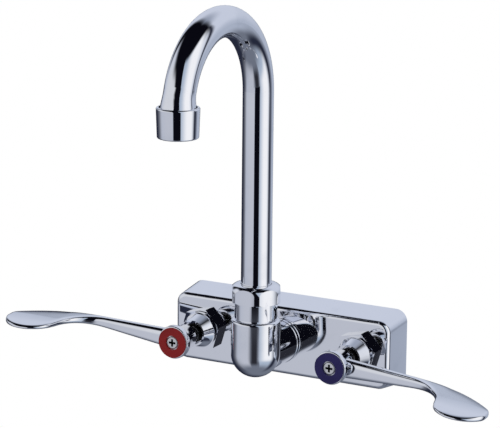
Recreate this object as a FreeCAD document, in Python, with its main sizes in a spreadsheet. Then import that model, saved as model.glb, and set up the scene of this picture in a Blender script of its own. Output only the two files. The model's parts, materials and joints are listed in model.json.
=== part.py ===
"""Wall-mounted commercial faucet with a swivel gooseneck and two wrist-blade handles.

Millimetres. The origin lies on the wall plane (y = 0), midway between the two valves, at the
height of their axes. +Z is up, +X is to the right of a person facing the wall, and the faucet
reaches towards that person, along -Y. A depth below is a distance in front of the wall.
"""
import FreeCAD, Part
import math
import os
import Sketcher

Vector = FreeCAD.Vector

# Driving sizes: alias, value in millimetres or degrees, and what it is.
SIZES = [
    ("valve_spacing", 101.6, "between the two valve axes, the 4 inch standard"),
    ("body_depth", 22.5, "from the wall to the body's front face"),
    ("front_margin", 18.9, "body, from a valve's axis to the end of its front face"),
    ("front_height", 40.0, "body, height of its front face"),
    ("back_margin", 19.9, "body, from a valve's axis to its end at the wall"),
    ("back_height", 45.0, "body, at the wall"),
    ("corner_radius", 7.0, "body, its four long corners"),
    ("front_edge_radius", 2.6, "body, rim of its front face"),
    ("shell_wall", 2.8, "body, thickness of its walls"),
    ("valve_boss_radius", 12.6, "body, round each valve chamber"),
    ("outlet_boss_radius", 12.6, "body, behind the elbow"),
    ("waterway_radius", 7.0, "body, outside of the pipe between the bosses"),
    ("waterway_bore", 4.5, "body, its radius inside"),
    ("waterway_depth", 10.6, "body, its axis in front of the wall"),
    ("outlet_boss_back", 6.0, "body, rear end of the boss behind the elbow"),
    ("outlet_chamber_back", 9.0, "body, floor of the chamber behind the elbow"),
    ("shank_radius", 10.45, "inlet shanks, half of the half-inch pipe thread's diameter"),
    ("shank_length", 16.0, "inlet shanks, behind the wall plane"),
    ("shank_bore", 6.0, "inlet shanks, radius of their bore"),
    ("seat_depth", 4.0, "where the seat seal lies"),
    ("chamber_radius", 8.1, "valve chamber, round the cartridge"),
    ("flange_depth", 15.5, "step that the cartridge's flange lies on"),
    ("cartridge_radius", 7.9, "cartridge, its lower sleeve"),
    ("cartridge_bore", 6.75, "cartridge, round the discs"),
    ("flange_radius", 9.9, "cartridge, its flange"),
    ("flange_thickness", 1.5, "cartridge, its flange"),
    ("gland_radius", 5.7, "cartridge, its neck round the stem"),
    ("gland_depth", 36.6, "cartridge, front end of its neck"),
    ("window_height", 8.0, "cartridge, its two side windows"),
    ("window_length", 3.0, "cartridge, its two side windows, along the axis"),
    ("seal_bore", 4.4, "seat seal, radius of its hole"),
    ("seal_thickness", 2.4, "seat seal"),
    ("disc_radius", 6.6, "ceramic discs"),
    ("disc_thickness", 3.0, "each ceramic disc"),
    ("port_inner", 1.4, "ceramic discs, inner radius of a port"),
    ("port_outer", 5.4, "ceramic discs, outer radius of a port"),
    ("port_angle", 74.0, "ceramic discs, angle that a port takes"),
    ("stem_radius", 4.0, "valve stem"),
    ("stem_end_depth", 54.6, "valve stem, its front end inside the handle"),
    ("driver_width", 5.0, "valve stem, the bar that turns the disc"),
    ("driver_thickness", 2.6, "valve stem, the same bar"),
    ("tang_width", 2.6, "valve stem, the tang in the disc's slot"),
    ("tang_depth", 1.1, "valve stem, the same tang"),
    ("glide_thickness", 0.6, "glide washer over the driver"),
    ("ring_cord", 0.8, "stem O-rings, radius of their section"),
    ("stem_ring_back", 25.0, "valve stem, middle of its rear seal groove"),
    ("stem_ring_front", 30.3, "valve stem, middle of its front seal groove"),
    ("clip_radius", 5.0, "retaining clip, outside"),
    ("clip_thickness", 0.8, "retaining clip"),
    ("clip_groove", 0.9, "stem, depth of the clip's groove"),
    ("bonnet_thread_radius", 10.2, "bonnet, its threaded part"),
    ("bonnet_hex_flats", 23.0, "bonnet, across its flats"),
    ("bonnet_hex_height", 5.0, "bonnet, its hexagon"),
    ("bonnet_turn", 13.0, "bonnet, degrees that its hexagon is screwed past corners level"),
    ("bonnet_collar_radius", 10.9, "bonnet, the round collar over the hexagon"),
    ("bonnet_collar_height", 1.2, "bonnet, the same collar"),
    ("bonnet_cone_base", 10.3, "bonnet, radius at the foot of its cone"),
    ("bonnet_cone_top", 7.7, "bonnet, radius at the rim of its cone"),
    ("bonnet_cone_height", 7.0, "bonnet, its cone"),
    ("bonnet_mouth_radius", 6.7, "bonnet, the recess in its rim"),
    ("bonnet_mouth_depth", 3.6, "bonnet, the same recess"),
    ("hub_back_depth", 44.0, "handle, back end of its neck"),
    ("hub_neck_radius", 7.4, "handle, its neck"),
    ("hub_disc_radius", 9.7, "handle, its front disc"),
    ("hub_disc_thickness", 4.2, "handle, its front disc"),
    ("hub_front_depth", 58.7, "handle, front of its disc"),
    ("hub_edge", 0.8, "handle, rounding of the disc's edges"),
    ("hub_web", 2.0, "handle, wall between the stem's socket and the screw's recess"),
    ("arm_back_at_hub", 45.4, "handle arm, depth of its back edge at the hub"),
    ("arm_depth_at_hub", 6.8, "handle arm, from its back edge to its front edge at the hub"),
    ("arm_back_sweep", 6.5, "handle arm, how far forward its back edge runs before it curves"),
    ("arm_front_sweep", 3.3, "handle arm, how far forward its front edge runs before it flares"),
    ("blade_back_length", 41.0, "blade, from its tip to where the back edge starts to curve"),
    ("blade_flare", 3.0, "blade, how far its flare starts past a line through throat, lobe and tip"),
    ("handle_reach", 103.0, "handle, from its axis to the blade's tip"),
    ("blade_back_radius", 72.5, "blade plan, long back edge"),
    ("blade_tip_radius", 9.8, "blade plan, tip"),
    ("blade_lobe_radius", 16.0, "blade plan, front lobe"),
    ("blade_throat_radius", 25.0, "blade plan, hollow where the lobe leaves the arm"),
    ("arm_top_at_hub", 4.6, "handle arm, top edge above the axis at the hub"),
    ("arm_bottom_at_hub", 7.2, "handle arm, bottom edge below the axis at the hub"),
    ("blade_top_length", 51.0, "blade, from its tip to where the arm's top edge starts to curve"),
    ("arm_top_end", 4.3, "handle arm, top edge above the axis there"),
    ("blade_crown_radius", 1500.0, "blade, crown of its top seen from the front"),
    ("blade_thickness", 3.5, "blade"),
    ("blade_bottom_length", 43.0, "blade, from its tip to where the arm's bottom edge meets it"),
    ("arm_bottom_end", 0.6, "handle arm, bottom edge below the axis there"),
    ("blade_tilt", 4.8, "blade, degrees that its front edge hangs"),
    ("handle_edge", 1.3, "handle, rounding of its long edges"),
    ("handle_block", 40.0, "handle, height of the block that its outlines are cut from"),
    ("handle_overlap", 0.8, "handle, how far its front outline runs past the hub's axis"),
    ("handle_rest", 3.55, "handles, degrees clockwise of level when shut"),
    ("index_radius", 8.9, "colour ring, outside"),
    ("index_hole", 4.2, "colour ring, its hole"),
    ("index_thickness", 1.0, "colour ring"),
    ("screw_head_radius", 3.7, "handle screw, its head"),
    ("screw_head_height", 2.7, "handle screw, its head"),
    ("screw_head_rounding", 0.9, "handle screw, edge of its head"),
    ("screw_radius", 2.0, "handle screw, its shank"),
    ("screw_length", 11.0, "handle screw, its shank"),
    ("screw_cross_length", 4.2, "handle screw, its cross recess"),
    ("screw_cross_width", 0.9, "handle screw, its cross recess"),
    ("screw_cross_depth", 1.3, "handle screw, its cross recess"),
    ("riser_depth", 51.9, "elbow, its upright axis in front of the wall"),
    ("elbow_radius", 14.2, "elbow, its barrel and round bottom"),
    ("elbow_top", 20.2, "elbow, top of its barrel"),
    ("elbow_shoulder", 1.6, "elbow, rounding of the barrel's top"),
    ("stub_radius", 12.9, "elbow, its horizontal arm"),
    ("spigot_radius", 9.5, "elbow, thread into the body"),
    ("spigot_length", 7.0, "elbow, thread into the body"),
    ("collar_radius", 13.2, "lock ring between elbow and body"),
    ("collar_length", 3.0, "lock ring between elbow and body"),
    ("collar_edge", 0.6, "lock ring, rounding of its edge"),
    ("elbow_bore", 6.5, "elbow, radius of the waterway"),
    ("neck_thread_radius", 10.7, "elbow, thread for the spout's nut"),
    ("neck_top", 29.0, "elbow, top of that thread"),
    ("socket_radius", 9.4, "elbow, bore that the spout's sleeve turns in"),
    ("socket_bottom", 9.5, "elbow, floor of that bore"),
    ("elbow_seal_thickness", 1.0, "washer at the end of the spigot"),
    ("nut_bottom", 21.0, "spout nut, lower end"),
    ("nut_skirt_radius", 12.2, "spout nut, round skirt"),
    ("nut_hex_bottom", 30.4, "spout nut, lower end of its hexagon"),
    ("nut_flats", 27.2, "spout nut, across its flats"),
    ("nut_top", 40.8, "spout nut, upper end"),
    ("nut_corner_relief", 1.3, "spout nut, how far its corners stand out past the flats"),
    ("nut_dome_radius", 4.6, "spout nut, rounding of its top"),
    ("nut_skirt_edge", 0.8, "spout nut, chamfer under the hexagon's corners"),
    ("nut_lip", 33.4, "spout nut, the lip that holds the sleeve down"),
    ("tube_radius", 8.75, "spout tube, outside"),
    ("tube_wall", 1.2, "spout tube"),
    ("spout_reach", 88.4, "from the riser's axis to the outlet's, about 3.5 inches"),
    ("arch_height", 151.6, "centre of the tube's arch above the inlets' axis"),
    ("outlet_straight", 2.6, "tube, its straight end under the arch, inside the aerator"),
    ("tube_end_radius", 10.2, "tube, outside of its swaged end"),
    ("swage_angle", 18.0, "tube, last degrees of the arch over which it widens"),
    ("sleeve_bottom", 12.0, "swivel sleeve, lower end"),
    ("sleeve_top", 32.4, "swivel sleeve, upper end"),
    ("sleeve_flange_radius", 10.6, "swivel sleeve, the flange under the nut's lip"),
    ("sleeve_flange_bottom", 29.3, "swivel sleeve, underside of that flange"),
    ("sleeve_tube_seat", 27.5, "swivel sleeve, step that the tube stands on"),
    ("spout_ring_cord", 0.75, "spout O-rings, radius of their section before they are squeezed"),
    ("spout_ring_low", 15.5, "lower spout O-ring"),
    ("spout_ring_high", 21.0, "upper spout O-ring"),
    ("glide_ring_thickness", 0.8, "glide ring between sleeve and nut"),
    ("aerator_height", 16.6, "aerator shell"),
    ("aerator_drop", 9.2, "aerator shell, its lower end below the tube's end"),
    ("aerator_top_radius", 11.8, "aerator shell, at the top"),
    ("aerator_bottom_radius", 11.2, "aerator shell, at the bottom"),
    ("aerator_edge", 0.9, "aerator shell, rounding of its edges"),
    ("aerator_insert_radius", 9.6, "aerator insert"),
    ("aerator_mouth", 8.4, "aerator shell, radius of its mouth"),
    ("aerator_lip", 1.4, "aerator shell, thickness of the lip round its mouth"),
    ("aerator_washer_thickness", 1.5, "aerator washer"),
    ("aerator_hole_radius", 0.8, "aerator insert, each of its holes"),
    ("screen_thickness", 0.5, "aerator screen"),
    ("play", 0.1, "radial play of threads and running fits"),
    ("seal_play", 0.03, "radial play of a seal against what it turns in"),
    ("stem_play", 0.06, "radial play of the stem in its gland"),
]

FRONT = "XZ_Plane"
PLAN = "XY_Plane"
SIDE = "YZ_Plane"
THROUGH = 400.0
SAME = 1e-4
X_AXIS = Vector(1, 0, 0)
Y_AXIS = Vector(0, 1, 0)
Z_AXIS = Vector(0, 0, 1)

# Sections of the tube's swaged end: share of its angle still to go, and share of the widening.
SWAGE_STEPS = [(1.0, 0.0), (0.66, 0.16), (0.33, 0.66), (0.0, 1.0)]

# Holes in the aerator's insert and screen, from the middle outwards.
HOLES_PER_RING = [1, 6, 12, 16]

doc = FreeCAD.newDocument("commercial_faucet")
sheet = doc.addObject("Spreadsheet::Sheet", "sizes")


class Size:
    """A number together with the sheet expression that it comes from."""

    def __init__(self, value, text):
        self.value = float(value)
        self.text = text

    def _with(self, other, sign, result):
        text = other.text if isinstance(other, Size) else repr(float(other))
        return Size(result, "(%s %s %s)" % (self.text, sign, text))

    def __add__(self, other):
        return self._with(other, "+", self.value + number(other))

    def __sub__(self, other):
        return self._with(other, "-", self.value - number(other))

    def __mul__(self, other):
        return self._with(other, "*", self.value * number(other))

    def __truediv__(self, other):
        return self._with(other, "/", self.value / number(other))

    def __neg__(self):
        return Size(-self.value, "(0 - %s)" % self.text)


ZERO = Size(0.0, "0")


def number(thing):
    return thing.value if isinstance(thing, Size) else float(thing)


def fill_sheet():
    """Writes the driving sizes into the sheet and returns them as Size objects by alias."""
    found = {}
    for row, (alias, value, meaning) in enumerate(SIZES, start=1):
        sheet.set("A%d" % row, alias)
        sheet.set("B%d" % row, repr(float(value)))
        sheet.set("C%d" % row, meaning)
        sheet.setAlias("B%d" % row, alias)
        found[alias] = Size(value, "sizes." + alias)
    doc.recompute()
    return found


S = fill_sheet()
RISER_Y = -S["riser_depth"]
VALVE_X = S["valve_spacing"] / 2
ARCH_RADIUS = S["spout_reach"] / 2
ARCH_CENTRE = S["arch_height"]
OUTLET_TUBE_END = ARCH_CENTRE - S["outlet_straight"]
AERATOR_BOTTOM = OUTLET_TUBE_END - S["aerator_drop"]
AERATOR_TOP = AERATOR_BOTTOM + S["aerator_height"]
FRONT_WIDTH = S["valve_spacing"] + S["front_margin"] * 2
BACK_WIDTH = S["valve_spacing"] + S["back_margin"] * 2
ARM_FRONT = S["arm_back_at_hub"] + S["arm_depth_at_hub"]
ARM_BACK_END = S["arm_back_at_hub"] + S["arm_back_sweep"]
ARM_FRONT_END = ARM_FRONT + S["arm_front_sweep"]
ARM_BACK_LENGTH = S["handle_reach"] - S["blade_back_length"]
ARM_FRONT_LENGTH = (S["handle_reach"] - S["blade_throat_radius"] - S["blade_lobe_radius"] * 2
                    + S["blade_flare"])
ARM_TOP_LENGTH = S["handle_reach"] - S["blade_top_length"]
ARM_BOTTOM_LENGTH = S["handle_reach"] - S["blade_bottom_length"]
COLLAR_DEPTH = S["body_depth"] + S["collar_length"]
SPIGOT_DEPTH = S["body_depth"] - S["spigot_length"]
FIXED_DISC = S["seat_depth"] + S["seal_thickness"]
MOVING_DISC = FIXED_DISC + S["disc_thickness"]
DRIVER = MOVING_DISC + S["disc_thickness"]
GLIDE = DRIVER + S["driver_thickness"]
GLAND_FLOOR = GLIDE + S["glide_thickness"]
FLANGE_FRONT = S["flange_depth"] + S["flange_thickness"]
CONE_FOOT = S["body_depth"] + S["bonnet_hex_height"] + S["bonnet_collar_height"]
BONNET_RIM = CONE_FOOT + S["bonnet_cone_height"]
STEM_BORE = S["stem_radius"] + S["stem_play"]
STEM_RINGS = [S["stem_ring_back"], S["stem_ring_front"]]
TUBE_BORE = S["tube_radius"] - S["tube_wall"]
SLEEVE_RADIUS = S["socket_radius"] - S["play"]


# Sketches and features that every sub-part uses.

def new_body(name):
    body = doc.addObject("PartDesign::Body", name)
    body.Label = name
    return body


def new_sketch(body, plane, name, shift=None, turn=None, axis=X_AXIS):
    """A sketch on one of the body's own planes, moved along its normal and turned about an axis."""
    sketch = body.newObject("Sketcher::SketchObject", name)
    support = [f for f in body.Origin.OriginFeatures if f.Role == plane][0]
    sketch.AttachmentSupport = [(support, "")]
    sketch.MapMode = "FlatFace"
    if shift is not None:
        sketch.setExpression("AttachmentOffset.Base.z", shift.text)
    if turn is not None:
        sketch.AttachmentOffset = FreeCAD.Placement(Vector(), FreeCAD.Rotation(axis, turn.value))
        sketch.setExpression("AttachmentOffset.Rotation.Angle", turn.text)
    return sketch


def pin_point(sketch, curve, end, x, y):
    """Holds one end of a curve at x and y from the sketch's origin."""
    at_x = sketch.addConstraint(Sketcher.Constraint("DistanceX", -1, 1, curve, end, x.value))
    sketch.setExpression("Constraints[%d]" % at_x, x.text)
    at_y = sketch.addConstraint(Sketcher.Constraint("DistanceY", -1, 1, curve, end, y.value))
    sketch.setExpression("Constraints[%d]" % at_y, y.text)


def draw_outline(sketch, corners):
    """A closed outline of straight lines through the corners."""
    points = [Vector(x.value, y.value, 0) for x, y in corners]
    count = len(points)
    lines = [sketch.addGeometry(Part.LineSegment(points[i], points[(i + 1) % count]))
             for i in range(count)]
    for i in range(count):
        sketch.addConstraint(Sketcher.Constraint("Coincident", lines[i - 1], 2, lines[i], 1))
    for line, (x, y) in zip(lines, corners):
        pin_point(sketch, line, 1, x, y)


def draw_circle(sketch, x, y, radius):
    circle = sketch.addGeometry(Part.Circle(Vector(x.value, y.value, 0), Z_AXIS, radius.value))
    pin_point(sketch, circle, 3, x, y)
    held = sketch.addConstraint(Sketcher.Constraint("Radius", circle, radius.value))
    sketch.setExpression("Constraints[%d]" % held, radius.text)


def draw_hexagon(sketch, flats):
    """A hexagon round the sketch's origin, with a flat at the top and the bottom."""
    corner = flats / math.sqrt(3)
    half = flats / 2
    side = corner / 2
    draw_outline(sketch, [(corner, ZERO), (side, half), (-side, half), (-corner, ZERO),
                          (-side, -half), (side, -half)])


def revolve(body, kind, sketch, name):
    feature = body.newObject("PartDesign::" + kind, name)
    feature.Profile = sketch
    feature.ReferenceAxis = (sketch, ["V_Axis"])
    feature.Angle = 360
    return feature


def extrude(body, kind, sketch, name, length=None, both=False, backwards=False):
    """A pad or pocket as long as length, or through everything when no length is given."""
    feature = body.newObject("PartDesign::" + kind, name)
    feature.Profile = sketch
    feature.Reversed = backwards
    feature.Midplane = both
    if length is None:
        feature.Length = THROUGH
    else:
        feature.Length = length.value
        feature.setExpression("Length", length.text)
    return feature


def turned(name, corners, plane=PLAN, body=None):
    """A solid of revolution: corners are (radius, position along the axis)."""
    body = body or new_body(name)
    sketch = new_sketch(body, plane, name + "_profile")
    draw_outline(sketch, corners)
    revolve(body, "Revolution", sketch, name + "_turned")
    return body


def edges_where(body, test):
    """Names of the tip's edges that the test accepts."""
    doc.recompute()
    edges = body.Tip.Shape.Edges
    return ["Edge%d" % (i + 1) for i, edge in enumerate(edges) if test(edge)]


def round_edges(body, name, radius, test, kind="Fillet"):
    names = edges_where(body, test)
    base = body.Tip
    feature = body.newObject("PartDesign::" + kind, name)
    feature.Base = (base, names)
    prop = "Radius" if kind == "Fillet" else "Size"
    setattr(feature, prop, radius.value)
    feature.setExpression(prop, radius.text)
    return feature


def is_circle(edge, radius, axis_point=None):
    """True for a round edge of this radius, at this height along its own axis when one is given."""
    if not isinstance(edge.Curve, Part.Circle):
        return False
    if abs(edge.Curve.Radius - number(radius)) > SAME:
        return False
    if axis_point is None:
        return True
    along = edge.Curve.Axis.dot(edge.Curve.Center)
    return abs(abs(along) - abs(number(axis_point))) < SAME


def put(body, x=ZERO, y=ZERO, turn=None):
    """Places a finished sub-part, turned about Y when turn is given."""
    rotation = FreeCAD.Rotation(Y_AXIS, number(turn or 0))
    body.Placement = FreeCAD.Placement(Vector(x.value, y.value, 0), rotation)
    body.setExpression("Placement.Base.x", x.text)
    body.setExpression("Placement.Base.y", y.text)
    if turn is not None:
        body.setExpression("Placement.Rotation.Angle", turn.text)
    return body


# Body casting: a drafted shell, open at the wall, with its bosses, waterway and shanks.

def rectangle(sketch, width, height):
    half_w = width / 2
    half_h = height / 2
    draw_outline(sketch, [(-half_w, -half_h), (half_w, -half_h), (half_w, half_h), (-half_w, half_h)])


def drafted_block(body, kind, name, back, front, front_depth):
    """A loft from the rectangle at the wall to the one at front_depth."""
    rear = new_sketch(body, FRONT, name + "_back")
    rectangle(rear, *back)
    face = new_sketch(body, FRONT, name + "_front", shift=front_depth)
    rectangle(face, *front)
    loft = body.newObject("PartDesign::" + kind, name)
    loft.Profile = rear
    loft.Sections = [face]
    loft.Ruled = True
    return loft


def long_corner(edge, depth, outer):
    """True for an edge that runs from the wall to this depth, on the outer or the inner skin."""
    if len(edge.Vertexes) != 2:
        return False
    ys = sorted(v.Point.y for v in edge.Vertexes)
    runs = abs(ys[0] + depth.value) < SAME and abs(ys[1]) < SAME
    top = max(abs(v.Point.z) for v in edge.Vertexes)
    return runs and (abs(top - S["back_height"].value / 2) < SAME) == outer


def boss(body, name, x, radius, start, end):
    """A round post on the casting, from one depth to another."""
    sketch = new_sketch(body, FRONT, name + "_circle", shift=start)
    draw_circle(sketch, x, ZERO, radius)
    return extrude(body, "Pad", sketch, name, length=end - start)


def bore(body, name, x, radius, start, end):
    """A round hole in the casting, from one depth forward to another."""
    sketch = new_sketch(body, FRONT, name + "_circle", shift=start)
    draw_circle(sketch, x, ZERO, radius)
    return extrude(body, "Pocket", sketch, name, length=end - start, backwards=True)


def make_body_casting():
    body = new_body("body_casting")
    wall = S["shell_wall"]
    depth = S["body_depth"]
    drafted_block(body, "AdditiveLoft", "casting", (BACK_WIDTH, S["back_height"]),
                  (FRONT_WIDTH, S["front_height"]), depth)
    round_edges(body, "casting_corners", S["corner_radius"], lambda e: long_corner(e, depth, True))
    front_face = -depth.value
    round_edges(body, "casting_rim", S["front_edge_radius"],
                lambda e: all(abs(v.Point.y - front_face) < SAME for v in e.Vertexes))
    inner_depth = depth - wall
    drafted_block(body, "SubtractiveLoft", "cavity",
                  (BACK_WIDTH - wall * 2, S["back_height"] - wall * 2),
                  (FRONT_WIDTH - wall * 2, S["front_height"] - wall * 2), inner_depth)
    round_edges(body, "cavity_corners", S["corner_radius"] - wall,
                lambda e: long_corner(e, inner_depth, False))
    for side, sign in (("hot", -1), ("cold", 1)):
        boss(body, side + "_valve_boss", VALVE_X * sign, S["valve_boss_radius"], ZERO, inner_depth)
        boss(body, side + "_shank", VALVE_X * sign, S["shank_radius"], -S["shank_length"], ZERO)
    boss(body, "outlet_boss", ZERO, S["outlet_boss_radius"], S["outlet_boss_back"], inner_depth)
    pipe = new_sketch(body, SIDE, "waterway_circle", shift=-VALVE_X)
    draw_circle(pipe, -S["waterway_depth"], ZERO, S["waterway_radius"])
    extrude(body, "Pad", pipe, "waterway", length=S["valve_spacing"])
    bonnet_thread = S["bonnet_thread_radius"] + S["play"]
    for side, sign in (("hot", -1), ("cold", 1)):
        x = VALVE_X * sign
        bore(body, side + "_shank_bore", x, S["shank_bore"], -S["shank_length"], S["seat_depth"])
        bore(body, side + "_chamber", x, S["chamber_radius"], S["seat_depth"], S["flange_depth"])
        bore(body, side + "_bonnet_thread", x, bonnet_thread, S["flange_depth"], depth)
    outlet_thread = S["spigot_radius"] + S["play"]
    seal_back = SPIGOT_DEPTH - S["elbow_seal_thickness"]
    bore(body, "outlet_thread", ZERO, outlet_thread, seal_back, depth)
    bore(body, "outlet_chamber", ZERO, S["elbow_bore"], S["outlet_chamber_back"], depth)
    hole = new_sketch(body, SIDE, "waterway_bore_circle", shift=-VALVE_X)
    draw_circle(hole, -S["waterway_depth"], ZERO, S["waterway_bore"])
    extrude(body, "Pocket", hole, "waterway_hole", length=S["valve_spacing"], backwards=True)
    return body


# Valves: one quarter-turn ceramic cartridge under each bonnet.

def make_bonnet(name):
    """Threaded foot, hexagon, collar and hollow cone in one piece."""
    clear = S["gland_radius"] + S["play"]
    foot = FLANGE_FRONT
    hex_top = S["body_depth"] + S["bonnet_hex_height"]
    mouth = BONNET_RIM - S["bonnet_mouth_depth"]
    body = turned(name, [
        (clear, -foot), (S["bonnet_thread_radius"], -foot), (S["bonnet_thread_radius"], -hex_top),
        (S["bonnet_collar_radius"], -hex_top), (S["bonnet_collar_radius"], -CONE_FOOT),
        (S["bonnet_cone_base"], -CONE_FOOT), (S["bonnet_cone_top"], -BONNET_RIM),
        (S["bonnet_mouth_radius"], -BONNET_RIM), (S["bonnet_mouth_radius"], -mouth), (clear, -mouth)])
    hexagon = new_sketch(body, FRONT, name + "_hexagon", shift=S["body_depth"],
                         turn=S["bonnet_turn"], axis=Z_AXIS)
    draw_hexagon(hexagon, S["bonnet_hex_flats"])
    draw_circle(hexagon, ZERO, ZERO, S["bonnet_thread_radius"] - S["play"])
    extrude(body, "Pad", hexagon, name + "_wrench_flats", length=S["bonnet_hex_height"])
    return body


def make_cartridge(name):
    """Brass sleeve round the discs, its flange, the neck round the stem and two side windows."""
    body = turned(name, [
        (S["cartridge_bore"], -FIXED_DISC), (S["cartridge_radius"], -FIXED_DISC),
        (S["cartridge_radius"], -S["flange_depth"]), (S["flange_radius"], -S["flange_depth"]),
        (S["flange_radius"], -FLANGE_FRONT), (S["gland_radius"], -FLANGE_FRONT),
        (S["gland_radius"], -S["gland_depth"]), (STEM_BORE, -S["gland_depth"]),
        (STEM_BORE, -GLAND_FLOOR), (S["cartridge_bore"], -GLAND_FLOOR)])
    window = new_sketch(body, SIDE, name + "_window")
    half = S["window_height"] / 2
    end = S["flange_depth"] - S["play"]
    start = end - S["window_length"]
    draw_outline(window, [(-start, -half), (-end, -half), (-end, half), (-start, half)])
    extrude(body, "Pocket", window, name + "_windows", both=True)
    return body


def draw_port(sketch, middle_angle):
    """One sector-shaped port, drawn as a closed loop of two arcs and two lines."""
    half = S["port_angle"].value / 2
    low = math.radians(middle_angle - half)
    high = math.radians(middle_angle + half)
    inner = Part.ArcOfCircle(Part.Circle(Vector(), Z_AXIS, S["port_inner"].value), low, high)
    outer = Part.ArcOfCircle(Part.Circle(Vector(), Z_AXIS, S["port_outer"].value), low, high)
    a = sketch.addGeometry(inner)
    b = sketch.addGeometry(outer)
    c = sketch.addGeometry(Part.LineSegment(inner.StartPoint, outer.StartPoint))
    d = sketch.addGeometry(Part.LineSegment(inner.EndPoint, outer.EndPoint))
    for first, first_end, second, second_end in ((a, 1, c, 1), (b, 1, c, 2), (a, 2, d, 1), (b, 2, d, 2)):
        sketch.addConstraint(Sketcher.Constraint("Coincident", first, first_end, second, second_end))
    for arc, radius in ((a, S["port_inner"]), (b, S["port_outer"])):
        sketch.addConstraint(Sketcher.Constraint("Coincident", arc, 3, -1, 1))
        held = sketch.addConstraint(Sketcher.Constraint("Radius", arc, radius.value))
        sketch.setExpression("Constraints[%d]" % held, radius.text)
    for line, angle in ((c, low), (d, high)):
        sketch.addConstraint(Sketcher.Constraint("Angle", -1, 1, line, 1, angle))
        sketch.addConstraint(Sketcher.Constraint("PointOnObject", -1, 1, line))


def make_disc(name, start, port_at, slotted):
    """A ceramic disc with two opposite ports. The moving one has a slot for the stem's tang."""
    body = new_body(name)
    circle = new_sketch(body, FRONT, name + "_circle", shift=start)
    draw_circle(circle, ZERO, ZERO, S["disc_radius"])
    extrude(body, "Pad", circle, name + "_blank", length=S["disc_thickness"])
    ports = new_sketch(body, FRONT, name + "_ports", shift=start)
    draw_port(ports, port_at)
    draw_port(ports, port_at + 180)
    extrude(body, "Pocket", ports, name + "_port_cut", both=True)
    if slotted:
        front = start + S["disc_thickness"]
        slot = new_sketch(body, FRONT, name + "_slot", shift=front)
        half_w = S["tang_width"] / 2 + S["play"]
        reach = S["disc_radius"] + S["play"]
        draw_outline(slot, [(-reach, -half_w), (reach, -half_w), (reach, half_w), (-reach, half_w)])
        extrude(body, "Pocket", slot, name + "_slot_cut", length=S["tang_depth"] + S["play"])
    return body


def groove_steps(radius, depth, half_width, floor):
    """The four corners of a groove in a turned profile, met from the back to the front."""
    back = -(depth - half_width)
    front = -(depth + half_width)
    return [(radius, back), (floor, back), (floor, front), (radius, front)]


def make_stem(name):
    """Splined stem with a driver bar and tang, two seal grooves and the retaining clip's groove."""
    radius = S["stem_radius"]
    floor = STEM_BORE - S["ring_cord"] * 2 - S["seal_play"] * 2
    half = S["ring_cord"] + S["play"]
    thread = S["screw_radius"] + S["play"]
    thread_floor = S["stem_end_depth"] - S["screw_length"]
    driver = S["disc_radius"] - S["play"]
    corners = [(ZERO, -DRIVER), (driver, -DRIVER), (driver, -GLIDE), (radius, -GLIDE)]
    for depth in STEM_RINGS:
        corners += groove_steps(radius, depth, half, floor)
    clip_middle = S["gland_depth"] + S["play"] + S["clip_thickness"] / 2
    clip_half = (S["clip_thickness"] + S["play"]) / 2
    corners += groove_steps(radius, clip_middle, clip_half, radius - S["clip_groove"])
    corners += [(radius, -S["stem_end_depth"]), (thread, -S["stem_end_depth"]),
                (thread, -thread_floor), (ZERO, -thread_floor)]
    body = turned(name, corners)
    flats = new_sketch(body, FRONT, name + "_driver_flats", shift=DRIVER)
    wide = S["disc_radius"] * 2
    half_bar = S["driver_width"] / 2
    for sign in (1, -1):
        draw_outline(flats, [(-wide, half_bar * sign), (wide, half_bar * sign),
                             (wide, wide * sign), (-wide, wide * sign)])
    extrude(body, "Pocket", flats, name + "_driver_bar", length=S["driver_thickness"], backwards=True)
    tang = new_sketch(body, FRONT, name + "_tang", shift=DRIVER - S["tang_depth"])
    reach = driver - S["play"]
    half_t = S["tang_width"] / 2
    draw_outline(tang, [(-reach, -half_t), (reach, -half_t), (reach, half_t), (-reach, half_t)])
    extrude(body, "Pad", tang, name + "_tang_bar", length=S["tang_depth"])
    return body


def ring_body(name, inner, outer, back, front):
    """A flat washer between two depths on the Y axis."""
    return turned(name, [(inner, -back), (outer, -back), (outer, -front), (inner, -front)])


def o_rings(name, rings, vertical=False):
    """O-rings round one axis: each is (centre radius, cord radius, place along the axis)."""
    parts = []
    for index, (middle, cord, place) in enumerate(rings):
        torus = doc.addObject("Part::Torus", "%s_ring_%d" % (name, index + 1))
        torus.setExpression("Radius1", middle.text)
        torus.setExpression("Radius2", cord.text)
        turn = FreeCAD.Rotation(X_AXIS, 0 if vertical else 90)
        torus.Placement = FreeCAD.Placement(Vector(), turn)
        torus.setExpression("Placement.Base.z" if vertical else "Placement.Base.y", place.text)
        parts.append(torus)
    group = doc.addObject("Part::Compound", name)
    group.Links = parts
    group.Label = name
    return group


def make_clip(name):
    """Split ring that keeps the stem from dropping into the valve."""
    back = S["gland_depth"] + S["play"]
    front = back + S["clip_thickness"]
    body = ring_body(name, S["stem_radius"] - S["clip_groove"] + S["play"], S["clip_radius"], back, front)
    gap = new_sketch(body, FRONT, name + "_gap", shift=back)
    half = S["clip_thickness"]
    reach = S["clip_radius"] * 2
    draw_outline(gap, [(-half, ZERO), (half, ZERO), (half, reach), (-half, reach)])
    extrude(body, "Pocket", gap, name + "_split", both=True)
    return body


# Handles: a wrist blade is the meeting of a plan outline and a front outline, with a turned hub.

def tangent_chain(sketch, curves):
    """Joins the ends of the curves in order, smooth where the pair says so."""
    for first, first_end, second, second_end, smooth in curves:
        kind = "Tangent" if smooth else "Coincident"
        sketch.addConstraint(Sketcher.Constraint(kind, first, first_end, second, second_end))


def hold_radius(sketch, arc, radius):
    held = sketch.addConstraint(Sketcher.Constraint("Radius", arc, radius.value))
    sketch.setExpression("Constraints[%d]" % held, radius.text)


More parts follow.
